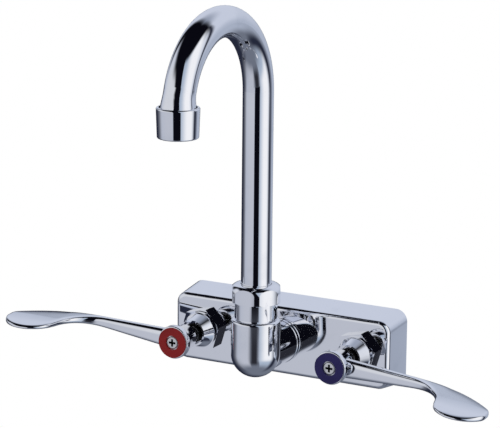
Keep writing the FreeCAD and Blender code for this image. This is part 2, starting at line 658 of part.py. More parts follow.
def circle_meeting(a, ra, b, rb, side):
    """Point at distance ra from a and rb from b, on the left of a to b when side is 1."""
    span = b - a
    gap = span.Length
    along = (ra * ra - rb * rb + gap * gap) / (2 * gap)
    away = math.sqrt(max(ra * ra - along * along, 0))
    unit = span * (1 / gap)
    normal = Vector(-unit.y, unit.x, 0)
    return a + unit * along + normal * (away * side)


def arc_about(sketch, centre, start, end):
    """Adds the counter-clockwise arc from start to end, and returns its index."""
    radius = (start - centre).Length
    low = math.atan2(start.y - centre.y, start.x - centre.x)
    high = math.atan2(end.y - centre.y, end.x - centre.x)
    circle = Part.Circle(centre, Z_AXIS, radius)
    return sketch.addGeometry(Part.ArcOfCircle(circle, low, high))


def on_circle(centre, towards, radius):
    way = towards - centre
    return centre + way * (radius / way.Length)


def draw_blade_plan(sketch, hand):
    """Arm and teardrop blade seen from above. Drawn for the right hand, mirrored by hand = -1.

    The four arcs are tangent to each other and to the arm's two edges. Their centres are first
    worked out here, so that the sketch's solver starts from the right shape.
    """
    def at(u, depth):
        return Vector(number(u), -number(depth), 0)

    back_hub = at(0, S["arm_back_at_hub"])
    back_end = at(ARM_BACK_LENGTH, ARM_BACK_END)
    front_hub = at(0, ARM_FRONT)
    front_end = at(ARM_FRONT_LENGTH, ARM_FRONT_END)
    r_back, r_tip, r_lobe, r_throat = [S["blade_%s_radius" % part].value
                                       for part in ("back", "tip", "lobe", "throat")]
    back_way = (back_end - back_hub).normalize()
    c_back = back_end + Vector(back_way.y, -back_way.x, 0) * r_back
    tip_x = S["handle_reach"].value - r_tip
    fall = math.sqrt((r_back - r_tip) ** 2 - (tip_x - c_back.x) ** 2)
    c_tip = Vector(tip_x, c_back.y + fall, 0)
    front_way = (front_end - front_hub).normalize()
    c_throat = front_end + Vector(front_way.y, -front_way.x, 0) * r_throat
    c_lobe = circle_meeting(c_throat, r_throat + r_lobe, c_tip, r_lobe - r_tip, 1)
    back_tip = on_circle(c_back, c_tip, r_back)
    tip_lobe = on_circle(c_lobe, c_tip, r_lobe)
    lobe_throat = on_circle(c_lobe, c_throat, r_lobe)

    def flip(point):
        return Vector(point.x * hand, point.y, 0)

    def arc(centre, start, end):
        ends = (start, end) if hand > 0 else (end, start)
        return arc_about(sketch, flip(centre), flip(ends[0]), flip(ends[1]))

    first, last = (1, 2) if hand > 0 else (2, 1)
    back = sketch.addGeometry(Part.LineSegment(flip(back_hub), flip(back_end)))
    a_back = arc(c_back, back_tip, back_end)
    a_tip = arc(c_tip, tip_lobe, back_tip)
    a_lobe = arc(c_lobe, lobe_throat, tip_lobe)
    a_throat = arc(c_throat, lobe_throat, front_end)
    front = sketch.addGeometry(Part.LineSegment(flip(front_end), flip(front_hub)))
    hub = sketch.addGeometry(Part.LineSegment(flip(front_hub), flip(back_hub)))
    tangent_chain(sketch, [
        (back, 2, a_back, last, True), (a_back, first, a_tip, last, True),
        (a_tip, first, a_lobe, last, True),
        (a_lobe, first, a_throat, first, True), (a_throat, last, front, 1, True),
        (front, 2, hub, 1, False), (hub, 2, back, 1, False)])
    pin_point(sketch, back, 1, ZERO, -S["arm_back_at_hub"])
    pin_point(sketch, back, 2, ARM_BACK_LENGTH * hand, -ARM_BACK_END)
    pin_point(sketch, front, 2, ZERO, -ARM_FRONT)
    pin_point(sketch, front, 1, ARM_FRONT_LENGTH * hand, -ARM_FRONT_END)
    for curve, name in ((a_back, "back"), (a_tip, "tip"), (a_lobe, "lobe"), (a_throat, "throat")):
        hold_radius(sketch, curve, S["blade_%s_radius" % name])
    centre_x = (S["handle_reach"] - S["blade_tip_radius"]) * hand
    held = sketch.addConstraint(Sketcher.Constraint("DistanceX", -1, 1, a_tip, 3, centre_x.value))
    sketch.setExpression("Constraints[%d]" % held, centre_x.text)


def draw_front_cuts(sketch, hand):
    """What is cut away above and below the arm and blade, seen from the front.

    The sketch is tilted about the arm's middle. The blade's underside has the centre of its
    crown, and one arc joins it to the arm.
    """
    past = S["handle_reach"] + S["blade_tip_radius"]
    before = -S["handle_overlap"]
    clear = S["handle_block"]

    def at(u, z):
        return Vector(number(u), number(z), 0)

    def flip(point):
        return Vector(point.x * hand, point.y, 0)

    def line(a, b):
        return sketch.addGeometry(Part.LineSegment(flip(a), flip(b)))

    def arc(centre, right, left):
        ends = (right, left) if hand > 0 else (left, right)
        return arc_about(sketch, flip(centre), flip(ends[0]), flip(ends[1]))

    crown = S["blade_crown_radius"].value
    under = crown - S["blade_thickness"].value
    top_hub = at(before, S["arm_top_at_hub"])
    top_end = at(ARM_TOP_LENGTH, S["arm_top_end"])
    way = (top_end - top_hub).normalize()
    centre = top_end + Vector(way.y, -way.x, 0) * crown
    run = past.value - centre.x
    top_tip = at(past, centre.y + math.sqrt(crown ** 2 - run ** 2))
    low_tip = at(past, centre.y + math.sqrt(under ** 2 - run ** 2))
    low_hub = at(before, -S["arm_bottom_at_hub"])
    low_end = at(ARM_BOTTOM_LENGTH, -S["arm_bottom_end"])
    rise = (low_end - low_hub).normalize()
    inward = Vector(rise.y, -rise.x, 0)
    gap = low_end - centre
    heel = (under ** 2 - gap.dot(gap)) / (2 * (gap.dot(inward) + under))
    heel_centre = low_end + inward * heel
    heel_end = on_circle(centre, heel_centre, under)

    left, right = (2, 1) if hand > 0 else (1, 2)
    top = line(top_hub, top_end)
    top_arc = arc(centre, top_tip, top_end)
    top_side = line(top_tip, at(past, clear))
    top_lid = line(at(past, clear), at(before, clear))
    top_back = line(at(before, clear), top_hub)
    low = line(low_hub, low_end)
    heel_arc = arc(heel_centre, heel_end, low_end)
    low_arc = arc(centre, low_tip, heel_end)
    low_side = line(low_tip, at(past, -clear))
    low_lid = line(at(past, -clear), at(before, -clear))
    low_back = line(at(before, -clear), low_hub)
    tangent_chain(sketch, [
        (top, 2, top_arc, left, True), (top_arc, right, top_side, 1, False),
        (top_side, 2, top_lid, 1, False),
        (top_lid, 2, top_back, 1, False), (top_back, 2, top, 1, False),
        (low, 2, heel_arc, left, True), (heel_arc, right, low_arc, left, True),
        (low_arc, right, low_side, 1, False), (low_side, 2, low_lid, 1, False),
        (low_lid, 2, low_back, 1, False), (low_back, 2, low, 1, False),
        (top_arc, 3, low_arc, 3, False)])
    pin_point(sketch, top, 1, before * hand, S["arm_top_at_hub"])
    pin_point(sketch, top, 2, ARM_TOP_LENGTH * hand, S["arm_top_end"])
    pin_point(sketch, low, 1, before * hand, -S["arm_bottom_at_hub"])
    pin_point(sketch, low, 2, ARM_BOTTOM_LENGTH * hand, -S["arm_bottom_end"])
    pin_point(sketch, top_lid, 1, past * hand, clear)
    pin_point(sketch, top_lid, 2, before * hand, clear)
    pin_point(sketch, low_lid, 1, past * hand, -clear)
    pin_point(sketch, low_lid, 2, before * hand, -clear)
    for tip_side in (top_side, low_side):
        sketch.addConstraint(Sketcher.Constraint("Vertical", tip_side))
    hold_radius(sketch, top_arc, S["blade_crown_radius"])
    hold_radius(sketch, low_arc, S["blade_crown_radius"] - S["blade_thickness"])


def is_long_edge(edge):
    """True for the edges between the handle's broad faces and its walls, and not for its seams."""
    if len(edge.Vertexes) < 2:
        return True
    a, b = [v.Point for v in edge.Vertexes]
    at_hub = max(abs(a.x), abs(b.x)) < SAME
    box = edge.BoundBox
    upright = abs(a.x - b.x) < SAME and abs(a.y - b.y) < SAME
    across = box.XLength < SAME
    return not (at_hub or upright or across)


def make_handle(name, hand):
    """Wrist-blade handle: its plan and front outlines, rounded, and then the turned hub."""
    body = new_body(name)
    plan = new_sketch(body, PLAN, name + "_plan")
    draw_blade_plan(plan, hand)
    extrude(body, "Pad", plan, name + "_plan_block", length=S["handle_block"], both=True)
    arm_middle = (S["arm_back_at_hub"] + ARM_FRONT) / 2
    cuts = new_sketch(body, FRONT, name + "_front", shift=arm_middle, turn=S["blade_tilt"])
    draw_front_cuts(cuts, hand)
    extrude(body, "Pocket", cuts, name + "_front_cut", both=True)
    round_edges(body, name + "_rounding", S["handle_edge"], is_long_edge)
    add_hub(body, name)
    return body


def add_hub(body, name):
    """Neck and front disc, with the stem's socket behind and the screw's recess in front."""
    disc_back = S["hub_front_depth"] - S["hub_disc_thickness"]
    back = -S["hub_back_depth"]
    front = -S["hub_front_depth"]
    turned(name + "_hub", [
        (ZERO, back), (S["hub_neck_radius"], back), (S["hub_neck_radius"], -disc_back),
        (S["hub_disc_radius"], -disc_back), (S["hub_disc_radius"], front), (ZERO, front)], body=body)
    rim = S["hub_disc_radius"]
    round_edges(body, name + "_disc_rounding", S["hub_edge"],
                lambda e: is_circle(e, rim, disc_back) or is_circle(e, rim, front))
    socket_end = S["stem_end_depth"] + S["play"]
    recess_floor = socket_end + S["hub_web"]
    holes = [("socket", S["stem_radius"], S["hub_back_depth"], socket_end),
             ("screw_hole", S["screw_radius"], socket_end, recess_floor),
             ("recess", S["screw_head_radius"], recess_floor, S["hub_front_depth"])]
    for hole, radius, start, end in holes:
        sketch = new_sketch(body, FRONT, "%s_%s_circle" % (name, hole), shift=start)
        draw_circle(sketch, ZERO, ZERO, radius + S["play"])
        extrude(body, "Pocket", sketch, "%s_%s" % (name, hole), length=end - start, backwards=True)


def make_handle_screw(name):
    """Pan-head screw with a cross recess."""
    seat = S["stem_end_depth"] + S["play"] + S["hub_web"]
    top = seat + S["screw_head_height"]
    tip = seat - S["screw_length"] + S["play"]
    head = S["screw_head_radius"]
    body = turned(name, [
        (ZERO, -tip), (S["screw_radius"], -tip), (S["screw_radius"], -seat), (head, -seat),
        (head, -top), (ZERO, -top)])
    round_edges(body, name + "_rounding", S["screw_head_rounding"], lambda e: is_circle(e, head, top))
    cross = new_sketch(body, FRONT, name + "_cross", shift=top)
    reach = S["screw_cross_length"] / 2
    half = S["screw_cross_width"] / 2
    draw_outline(cross, [(reach, -half), (reach, half), (half, half), (half, reach),
                         (-half, reach), (-half, half), (-reach, half), (-reach, -half),
                         (-half, -half), (-half, -reach), (half, -reach), (half, -half)])
    extrude(body, "Pocket", cross, name + "_cross_cut", length=S["screw_cross_depth"])
    return body


# Outlet: elbow, lock ring, swivel and nut. These stand round the riser's upright axis.

def make_elbow():
    """Barrel with a round bottom, the arm to the body, and the bored and threaded neck."""
    body = new_body("outlet_elbow")
    turned("outlet_elbow", [
        (ZERO, ZERO), (S["elbow_radius"], ZERO), (S["elbow_radius"], S["elbow_top"]),
        (S["neck_thread_radius"], S["elbow_top"]), (S["neck_thread_radius"], S["neck_top"]),
        (ZERO, S["neck_top"])], plane=FRONT, body=body)
    round_edges(body, "elbow_shoulder_rounding", S["elbow_shoulder"],
                lambda e: is_circle(e, S["elbow_radius"], S["elbow_top"]))
    bottom = body.newObject("PartDesign::AdditiveSphere", "elbow_bottom")
    bottom.Radius = S["elbow_radius"].value
    bottom.setExpression("Radius", S["elbow_radius"].text)
    bottom.Angle1 = -90
    bottom.Angle2 = 0
    doc.recompute()
    for part, radius, end in (("arm", S["stub_radius"], S["riser_depth"] - COLLAR_DEPTH),
                              ("spigot", S["spigot_radius"], S["riser_depth"] - SPIGOT_DEPTH)):
        sketch = new_sketch(body, FRONT, "elbow_%s_circle" % part)
        draw_circle(sketch, ZERO, ZERO, radius)
        extrude(body, "Pad", sketch, "elbow_" + part, length=end, backwards=True)
    top = new_sketch(body, PLAN, "elbow_socket_circle", shift=S["neck_top"])
    draw_circle(top, ZERO, ZERO, S["socket_radius"])
    extrude(body, "Pocket", top, "elbow_socket", length=S["neck_top"] - S["socket_bottom"])
    down = new_sketch(body, PLAN, "elbow_drop_circle", shift=S["socket_bottom"])
    draw_circle(down, ZERO, ZERO, S["elbow_bore"])
    extrude(body, "Pocket", down, "elbow_drop", length=S["socket_bottom"])
    across = new_sketch(body, FRONT, "elbow_bore_circle")
    draw_circle(across, ZERO, ZERO, S["elbow_bore"])
    extrude(body, "Pocket", across, "elbow_cross_bore", length=S["riser_depth"])
    return put(body, y=RISER_Y)


def make_lock_ring():
    body = ring_body("elbow_lock_ring", S["spigot_radius"] + S["play"], S["collar_radius"],
                     S["body_depth"], COLLAR_DEPTH)
    round_edges(body, "lock_ring_rounding", S["collar_edge"],
                lambda e: is_circle(e, S["collar_radius"]))
    return body


def make_spout_nut():
    """Skirt, domed hexagon and the lip that holds the swivel sleeve down."""
    corner = S["nut_flats"] / 2 + S["nut_corner_relief"]
    inner = S["neck_thread_radius"] + S["play"]
    mouth = S["tube_radius"] + S["play"] * 2
    body = turned("spout_nut", [
        (inner, S["nut_bottom"]), (S["nut_skirt_radius"], S["nut_bottom"]),
        (S["nut_skirt_radius"], S["nut_hex_bottom"]), (corner, S["nut_hex_bottom"]),
        (corner, S["nut_top"]), (mouth, S["nut_top"]), (mouth, S["nut_lip"]),
        (inner, S["nut_lip"])], plane=FRONT)
    round_edges(body, "nut_dome", S["nut_dome_radius"], lambda e: is_circle(e, corner, S["nut_top"]))
    round_edges(body, "nut_hex_relief", S["nut_skirt_edge"],
                lambda e: is_circle(e, corner, S["nut_hex_bottom"]), kind="Chamfer")
    flats = new_sketch(body, PLAN, "nut_flats_outline", shift=S["nut_hex_bottom"])
    draw_hexagon(flats, S["nut_flats"])
    draw_circle(flats, ZERO, ZERO, S["nut_flats"])
    extrude(body, "Pocket", flats, "nut_wrench_flats",
            length=S["nut_top"] - S["nut_hex_bottom"], backwards=True)
    return put(body, y=RISER_Y)


def make_spout_sleeve():
    """Brass ferrule under the tube that turns in the elbow, with two seal grooves."""
    floor = S["socket_radius"] - S["spout_ring_cord"] * 2 - S["seal_play"] * 2
    half = S["spout_ring_cord"] + S["play"]
    outer = SLEEVE_RADIUS
    tube = S["tube_radius"] + S["play"] / 2
    corners = [(S["elbow_bore"], S["sleeve_bottom"]), (outer, S["sleeve_bottom"])]
    for place in (S["spout_ring_low"], S["spout_ring_high"]):
        corners += [(outer, place - half), (floor, place - half),
                    (floor, place + half), (outer, place + half)]
    corners += [(outer, S["sleeve_flange_bottom"]), (S["sleeve_flange_radius"], S["sleeve_flange_bottom"]),
                (S["sleeve_flange_radius"], S["sleeve_top"]), (tube, S["sleeve_top"]),
                (tube, S["sleeve_tube_seat"]), (S["elbow_bore"], S["sleeve_tube_seat"])]
    return put(turned("spout_sleeve", corners, plane=FRONT), y=RISER_Y)


def make_spout_rings():
    middle = S["socket_radius"] - S["seal_play"] - S["spout_ring_cord"]
    rings = [(middle, S["spout_ring_cord"], place)
             for place in (S["spout_ring_low"], S["spout_ring_high"])]
    return put(o_rings("spout_o_rings", rings, vertical=True), y=RISER_Y)


def make_glide_ring():
    """Slippery washer between the sleeve's flange and the nut's lip."""
    inner = S["tube_radius"] + S["play"]
    low = S["sleeve_top"]
    high = low + S["glide_ring_thickness"]
    body = turned("spout_glide_ring", [(inner, low), (S["sleeve_flange_radius"], low),
                                       (S["sleeve_flange_radius"], high), (inner, high)], plane=FRONT)
    return put(body, y=RISER_Y)


# Spout: the gooseneck tube, swaged at its outlet, and the aerator on it.

def arch_section(body, name, back_from_end, radius):
    """A circle square to the arch, this many degrees before the arch's end."""
    sketch = body.newObject("Sketcher::SketchObject", name)
    support = [f for f in body.Origin.OriginFeatures if f.Role == PLAN][0]
    sketch.AttachmentSupport = [(support, "")]
    sketch.MapMode = "FlatFace"
    turn = 180 - back_from_end.value
    sketch.AttachmentOffset = FreeCAD.Placement(Vector(), FreeCAD.Rotation(X_AXIS, turn))
    angle = "(180 - %s)" % back_from_end.text
    ahead = "%s * (cos(%s) - 1)" % (ARCH_RADIUS.text, angle)
    height = "%s + %s * sin(%s)" % (ARCH_CENTRE.text, ARCH_RADIUS.text, angle)
    sketch.setExpression("AttachmentOffset.Rotation.Angle", angle)
    sketch.setExpression("AttachmentOffset.Base.y", ahead)
    sketch.setExpression("AttachmentOffset.Base.z", height)
    draw_circle(sketch, ZERO, ZERO, radius)
    return sketch


def gooseneck(body, label, way, solid_kind, radius, end_radius):
    """The tube's outside or its bore: a pipe, a widening end along the arch and a straight end."""
    path = new_sketch(body, SIDE, label + "_path")
    start = Vector(0, S["sleeve_tube_seat"].value, 0)
    bend = Vector(0, ARCH_CENTRE.value, 0)
    centre = Vector(-ARCH_RADIUS.value, ARCH_CENTRE.value, 0)
    swage = math.radians(180 - S["swage_angle"].value)
    finish = centre + Vector(math.cos(swage), math.sin(swage), 0) * ARCH_RADIUS.value
    riser = path.addGeometry(Part.LineSegment(start, bend))
    arch = arc_about(path, centre, bend, finish)
    path.addConstraint(Sketcher.Constraint("Coincident", riser, 2, arch, 1))
    pin_point(path, riser, 1, ZERO, S["sleeve_tube_seat"])
    pin_point(path, riser, 2, ZERO, ARCH_CENTRE)
    pin_point(path, arch, 3, -ARCH_RADIUS, ARCH_CENTRE)
    finish_y = "%s * (cos(180 - %s) - 1)" % (ARCH_RADIUS.text, S["swage_angle"].text)
    held = path.addConstraint(Sketcher.Constraint("DistanceX", -1, 1, arch, 2, finish.x))
    path.setExpression("Constraints[%d]" % held, finish_y)
    foot = new_sketch(body, PLAN, label + "_foot", shift=S["sleeve_tube_seat"])
    draw_circle(foot, ZERO, ZERO, radius)
    pipe = body.newObject("PartDesign::%sPipe" % way, label + "_pipe")
    pipe.Profile = foot
    pipe.Spine = (path, ["Edge1", "Edge2"])
    doc.recompute()
    growth = end_radius - radius
    angle = S["swage_angle"]
    sections = [arch_section(body, "%s_section_%d" % (label, i), angle * to_go, radius + growth * share)
                for i, (to_go, share) in enumerate(SWAGE_STEPS)]
    loft = body.newObject("PartDesign::%sLoft" % way, label + "_swage")
    loft.Profile = sections[0]
    loft.Sections = sections[1:]
    doc.recompute()
    end = new_sketch(body, PLAN, label + "_end_circle", shift=OUTLET_TUBE_END)
    draw_circle(end, ZERO, -S["spout_reach"], end_radius)
    length = ARCH_CENTRE - OUTLET_TUBE_END
    extrude(body, solid_kind, end, label + "_end", length=length, backwards=solid_kind == "Pocket")


def make_spout_tube():
    body = new_body("spout_tube")
    gooseneck(body, "outside", "Additive", "Pad", S["tube_radius"], S["tube_end_radius"])
    gooseneck(body, "inside", "Subtractive", "Pocket", TUBE_BORE, S["tube_end_radius"] - S["tube_wall"])
    return put(body, y=RISER_Y)


def make_aerator_shell():
    """Tapered threaded cup that holds the insert on the tube's end."""
    thread = S["tube_end_radius"] + S["play"] * 2
    step = OUTLET_TUBE_END - S["aerator_washer_thickness"]
    chamber = S["aerator_insert_radius"] + S["play"]
    lip = AERATOR_BOTTOM + S["aerator_lip"]
    body = turned("aerator_shell", [
        (S["aerator_mouth"], AERATOR_BOTTOM), (S["aerator_bottom_radius"], AERATOR_BOTTOM),
        (S["aerator_top_radius"], AERATOR_TOP), (thread, AERATOR_TOP), (thread, step),
        (chamber, step), (chamber, lip), (S["aerator_mouth"], lip)], plane=FRONT)
    round_edges(body, "aerator_rounding", S["aerator_edge"],
                lambda e: is_circle(e, S["aerator_top_radius"], AERATOR_TOP)
                or is_circle(e, S["aerator_bottom_radius"], AERATOR_BOTTOM))
    return put(body, y=RISER_Y - S["spout_reach"])


def holes_in_rings(body, name, pitch):
    """Round holes through a disc, in rings one pitch apart."""
    for index, count in enumerate(HOLES_PER_RING):
        sketch = new_sketch(body, PLAN, "%s_hole_%d" % (name, index), shift=AERATOR_BOTTOM)
        draw_circle(sketch, pitch * index, ZERO, S["aerator_hole_radius"])
        hole = extrude(body, "Pocket", sketch, "%s_through_%d" % (name, index), both=True)
        if count > 1:
            doc.recompute()
            pattern = body.newObject("PartDesign::PolarPattern", "%s_ring_of_holes_%d" % (name, index))
            pattern.Originals = [hole]
            pattern.Axis = ([f for f in body.Origin.OriginFeatures if f.Role == "Z_Axis"][0], [""])
            pattern.Angle = 360
            pattern.Occurrences = count
            body.Tip = pattern
            doc.recompute()


def perforated_disc(name, radius, low, high):
    body = turned(name, [(ZERO, low), (radius, low), (radius, high), (ZERO, high)], plane=FRONT)
    holes_in_rings(body, name, radius / len(HOLES_PER_RING))
    return put(body, y=RISER_Y - S["spout_reach"])


def make_aerator_inside():
    """Insert, screen and washer, stacked between the shell's lip and the tube's end."""
    lip = AERATOR_BOTTOM + S["aerator_lip"]
    step = OUTLET_TUBE_END - S["aerator_washer_thickness"]
    insert_top = step - S["screen_thickness"]
    insert = perforated_disc("aerator_insert", S["aerator_insert_radius"], lip, insert_top)
    screen = perforated_disc("aerator_screen", S["aerator_insert_radius"], insert_top, step)
    inner = S["tube_end_radius"] - S["tube_wall"] * 2
    outer = S["tube_end_radius"]
    washer = turned("aerator_washer", [(inner, step), (outer, step), (outer, OUTLET_TUBE_END),
                                       (inner, OUTLET_TUBE_END)], plane=FRONT)
    return [insert, screen, put(washer, y=RISER_Y - S["spout_reach"])]


def make_valve(side, sign):
    """Everything on one valve's axis. The hot valve is on the left and the cold one on the right."""
    x = VALVE_X * sign
    washer_hole = S["stem_radius"] + S["play"]
    glide = ring_body(side + "_glide_washer", washer_hole, S["disc_radius"], GLIDE, GLAND_FLOOR)
    seal = ring_body(side + "_seat_seal", S["seal_bore"], S["disc_radius"], S["seat_depth"], FIXED_DISC)
    ring_middle = STEM_BORE - S["seal_play"] - S["ring_cord"]
    rings = [(ring_middle, S["ring_cord"], -depth) for depth in STEM_RINGS]
    index_back = S["hub_front_depth"]
    index_front = index_back + S["index_thickness"]
    index = ring_body(side + "_index_ring", S["index_hole"], S["index_radius"], index_back, index_front)
    level = [make_bonnet(side + "_bonnet"), make_cartridge(side + "_cartridge"), seal, glide,
             make_disc(side + "_fixed_disc", FIXED_DISC, 0, False),
             make_disc(side + "_moving_disc", MOVING_DISC, 90, True), make_stem(side + "_stem"),
             make_clip(side + "_stem_clip"), o_rings(side + "_stem_o_rings", rings)]
    at_rest = [make_handle(side + "_handle", sign), index, make_handle_screw(side + "_handle_screw")]
    return ([put(body, x=x) for body in level]
            + [put(body, x=x, turn=S["handle_rest"]) for body in at_rest])


def make_all():
    seal_back = SPIGOT_DEPTH - S["elbow_seal_thickness"]
    return [make_body_casting(), make_elbow(), make_lock_ring(),
            ring_body("elbow_seal", S["elbow_bore"], S["spigot_radius"], seal_back, SPIGOT_DEPTH),
            make_spout_nut(), make_spout_sleeve(), make_spout_rings(), make_glide_ring(), make_spout_tube(),
            make_aerator_shell()] + make_aerator_inside() + make_valve("hot", -1) + make_valve("cold", 1)


def check(parts):
    """Stops the build when any feature failed or any sub-part has no sound shape."""
    doc.recompute()
    failed = [o.Name for o in doc.Objects if "Invalid" in o.State or "Error" in o.State]
    unsound = [p.Label for p in parts if p.Shape.isNull() or not p.Shape.isValid()]
    if failed or unsound:
        raise RuntimeError("failed features %s, unsound sub-parts %s" % (failed, unsound))


def export(parts):
    os.makedirs("parts", exist_ok=True)
    for part in parts:
        part.Shape.exportStep(os.path.join("parts", part.Label + ".step"))


sub_parts = make_all()
check(sub_parts)
export(sub_parts)
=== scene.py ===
# %% [markdown]
# # A wall-mounted commercial faucet in polished chrome
#
# The shapes come from the CAD model: every casting, nut and handle is already in place, in
# metres, with the wall at y = 0 and the valves on the x axis. What Blender adds is what a
# solid model can't say: how chrome mirrors a studio, the plastics and rubbers inside, and
# the small repeated forms, such as threads, splines and woven wire, that would make a CAD
# model heavy. This notebook builds those one at a time.

# %% Load the CAD model
import json
import math

import bmesh
import bpy
from mathutils import Matrix, Vector


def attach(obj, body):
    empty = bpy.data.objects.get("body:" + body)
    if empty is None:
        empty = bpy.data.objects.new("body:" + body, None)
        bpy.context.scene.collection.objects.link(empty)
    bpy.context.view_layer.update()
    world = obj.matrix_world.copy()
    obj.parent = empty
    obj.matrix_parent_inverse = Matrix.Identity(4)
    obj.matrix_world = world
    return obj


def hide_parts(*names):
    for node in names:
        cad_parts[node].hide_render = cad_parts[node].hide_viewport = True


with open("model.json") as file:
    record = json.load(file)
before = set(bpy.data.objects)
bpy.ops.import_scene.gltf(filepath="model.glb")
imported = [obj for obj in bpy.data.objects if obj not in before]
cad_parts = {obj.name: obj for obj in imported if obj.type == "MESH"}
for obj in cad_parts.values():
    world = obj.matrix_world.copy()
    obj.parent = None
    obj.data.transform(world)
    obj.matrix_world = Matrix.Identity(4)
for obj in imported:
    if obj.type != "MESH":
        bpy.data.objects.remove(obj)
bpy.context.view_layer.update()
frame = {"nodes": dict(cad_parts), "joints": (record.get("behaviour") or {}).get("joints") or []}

nodes = frame["nodes"]
joint_places = {joint["name"]: joint["pos_m"] for joint in frame["joints"]}
SPOUT_AXIS = joint_places["spout_swivel"]
VALVE_X = joint_places["cold_turn"][0]      # the hot valve is as far on the other side

# %% [markdown]
# ## The camera
#
# The photograph was taken from the right and a little above with a long lens, which keeps
# the far handle nearly as large as the near one. The numbers below came from matching known
# points of the faucet (valve axes, corners of the body, rim of the outlet) with their places
# in the picture. A camera looks along its own -Z, so its axes are written as the columns of
# a matrix: right, up and back.

# %% Place the camera
CAMERA_AZIMUTH = math.radians(28.6)
CAMERA_ELEVATION = math.radians(13.06)
CAMERA_ROLL = math.radians(0.573)
CAMERA_DISTANCE = 1.4577    # metres, like the two aims
FOCAL_LENGTH = 178.3        # millimetres, like the sensor's width
SENSOR_WIDTH = 36
AIM_RIGHT = -0.02809
AIM_UP = 0.06892

back = Vector((math.sin(CAMERA_AZIMUTH) * math.cos(CAMERA_ELEVATION),
               -math.cos(CAMERA_AZIMUTH) * math.cos(CAMERA_ELEVATION),
               math.sin(CAMERA_ELEVATION)))
level_right = Vector((math.cos(CAMERA_AZIMUTH), math.sin(CAMERA_AZIMUTH), 0))
level_up = back.cross(level_right)
right = math.cos(CAMERA_ROLL) * level_right + math.sin(CAMERA_ROLL) * level_up
up = math.cos(CAMERA_ROLL) * level_up - math.sin(CAMERA_ROLL) * level_right


def add_object(name, data):
    """A new object in the scene with this data."""
    made = bpy.data.objects.new(name, data)
    bpy.context.scene.collection.objects.link(made)
    return made


camera_data = bpy.data.cameras.new("photo_camera")
camera_data.lens = FOCAL_LENGTH
camera_data.sensor_width = SENSOR_WIDTH
camera = add_object("photo_camera", camera_data)
turn = Matrix((right, up, back)).transposed()
place = right * AIM_RIGHT + up * AIM_UP + back * CAMERA_DISTANCE
camera.matrix_world = Matrix.Translation(place) @ turn.to_4x4()
bpy.context.scene.camera = camera
print("camera at", [round(v, 3) for v in place])

# %% [markdown]
# ## A small language for shader maths
#
# Every finish below is made of nodes. Adding them one by one is slow to read, so a `Wire`
# stands for an output socket: writing `0.03 + 0.02 * smudges` adds the two Math nodes by
# itself. `maths` makes the other Math nodes, and `add_node` makes any node at all from its
# type, its settings and its inputs.

# %% Wires that add their own nodes
class Wire:
    """An output socket. Arithmetic on it adds Math nodes to its tree."""

    def __init__(self, socket):
        self.socket = socket
        self.tree = socket.id_data

    def __add__(self, other):
        return maths("ADD", self, other)

    def __sub__(self, other):
        return maths("SUBTRACT", self, other)

    def __rsub__(self, other):
        return maths("SUBTRACT", other, self)

    def __mul__(self, other):
        return maths("MULTIPLY", self, other)

    def __truediv__(self, other):
        return maths("DIVIDE", self, other)

    def __rtruediv__(self, other):
        return maths("DIVIDE", other, self)

    __radd__ = __add__
    __rmul__ = __mul__


def add_node(tree, kind, settings, inputs, output=0):
    """Adds a node. Settings come first, because some of them change its sockets."""
    made = tree.nodes.new(kind)
    for name, value in settings.items():
        setattr(made, name, value)
    for key, value in inputs.items():
        if isinstance(value, Wire):
            tree.links.new(value.socket, made.inputs[key])
        else:
            made.inputs[key].default_value = value
    return Wire(made.outputs[output])


def maths(operation, first, second=0.0, kind="ShaderNodeMath"):
    """A Math node. At least one of its two values is a wire."""
    tree = first.tree if isinstance(first, Wire) else second.tree
    return add_node(tree, kind, {"operation": operation}, {0: first, 1: second})


def absolute(value):
    return maths("ABSOLUTE", value)


def split(wire):
    """The x, y and z of a wire that carries a place or a direction."""
    parts = add_node(wire.tree, "ShaderNodeSeparateXYZ", {}, {0: wire})
    return [Wire(socket) for socket in parts.socket.node.outputs]


def rise(value, start, end):
    """Goes smoothly from 0 to 1 while value goes from start to end."""
    return add_node(value.tree, "ShaderNodeMapRange", {"interpolation_type": "SMOOTHSTEP"},
                    {"Value": value, "From Min": start, "From Max": end})


def mix_colours(share, first, second):
    """The first colour where share is 0, and the second where it is 1."""
    return add_node(share.tree, "ShaderNodeMix", {"data_type": "RGBA"},
                    {0: share, 6: first, 7: second}, output=2)


def object_place(tree):
    """Where a point lies on its object, in metres."""
    return add_node(tree, "ShaderNodeTexCoord", {}, {}, output="Object")


trial = bpy.data.node_groups.new("trial", "ShaderNodeTree")
smudged = 0.03 + 0.02 * absolute(object_place(trial))
print(smudged.socket.node.name, "is the last of", len(trial.nodes), "nodes that one line made")
bpy.data.node_groups.remove(trial)

# %% [markdown]
# ## The studio
#
# Polished chrome has hardly any colour of its own, so what it mirrors decides how it looks.
# The photograph's tube shows its studio like a film strip: a dark gap straight ahead, where
# the camera stands between two soft boxes, a bright box on the right, a dimmer one on the
# left that fades away sideways, and pale blue-grey paper above and behind. A large dome
# round the faucet carries these as zones of light. Only reflections see it; the camera and
# the plain light look through it.
#
# Each zone is a range of compass angle and of height. Compass 0 points from the wall to the
# viewer, and grows to the right. Over all hangs a dark ceiling, whose back edge runs from side
# to side a little behind the faucet.

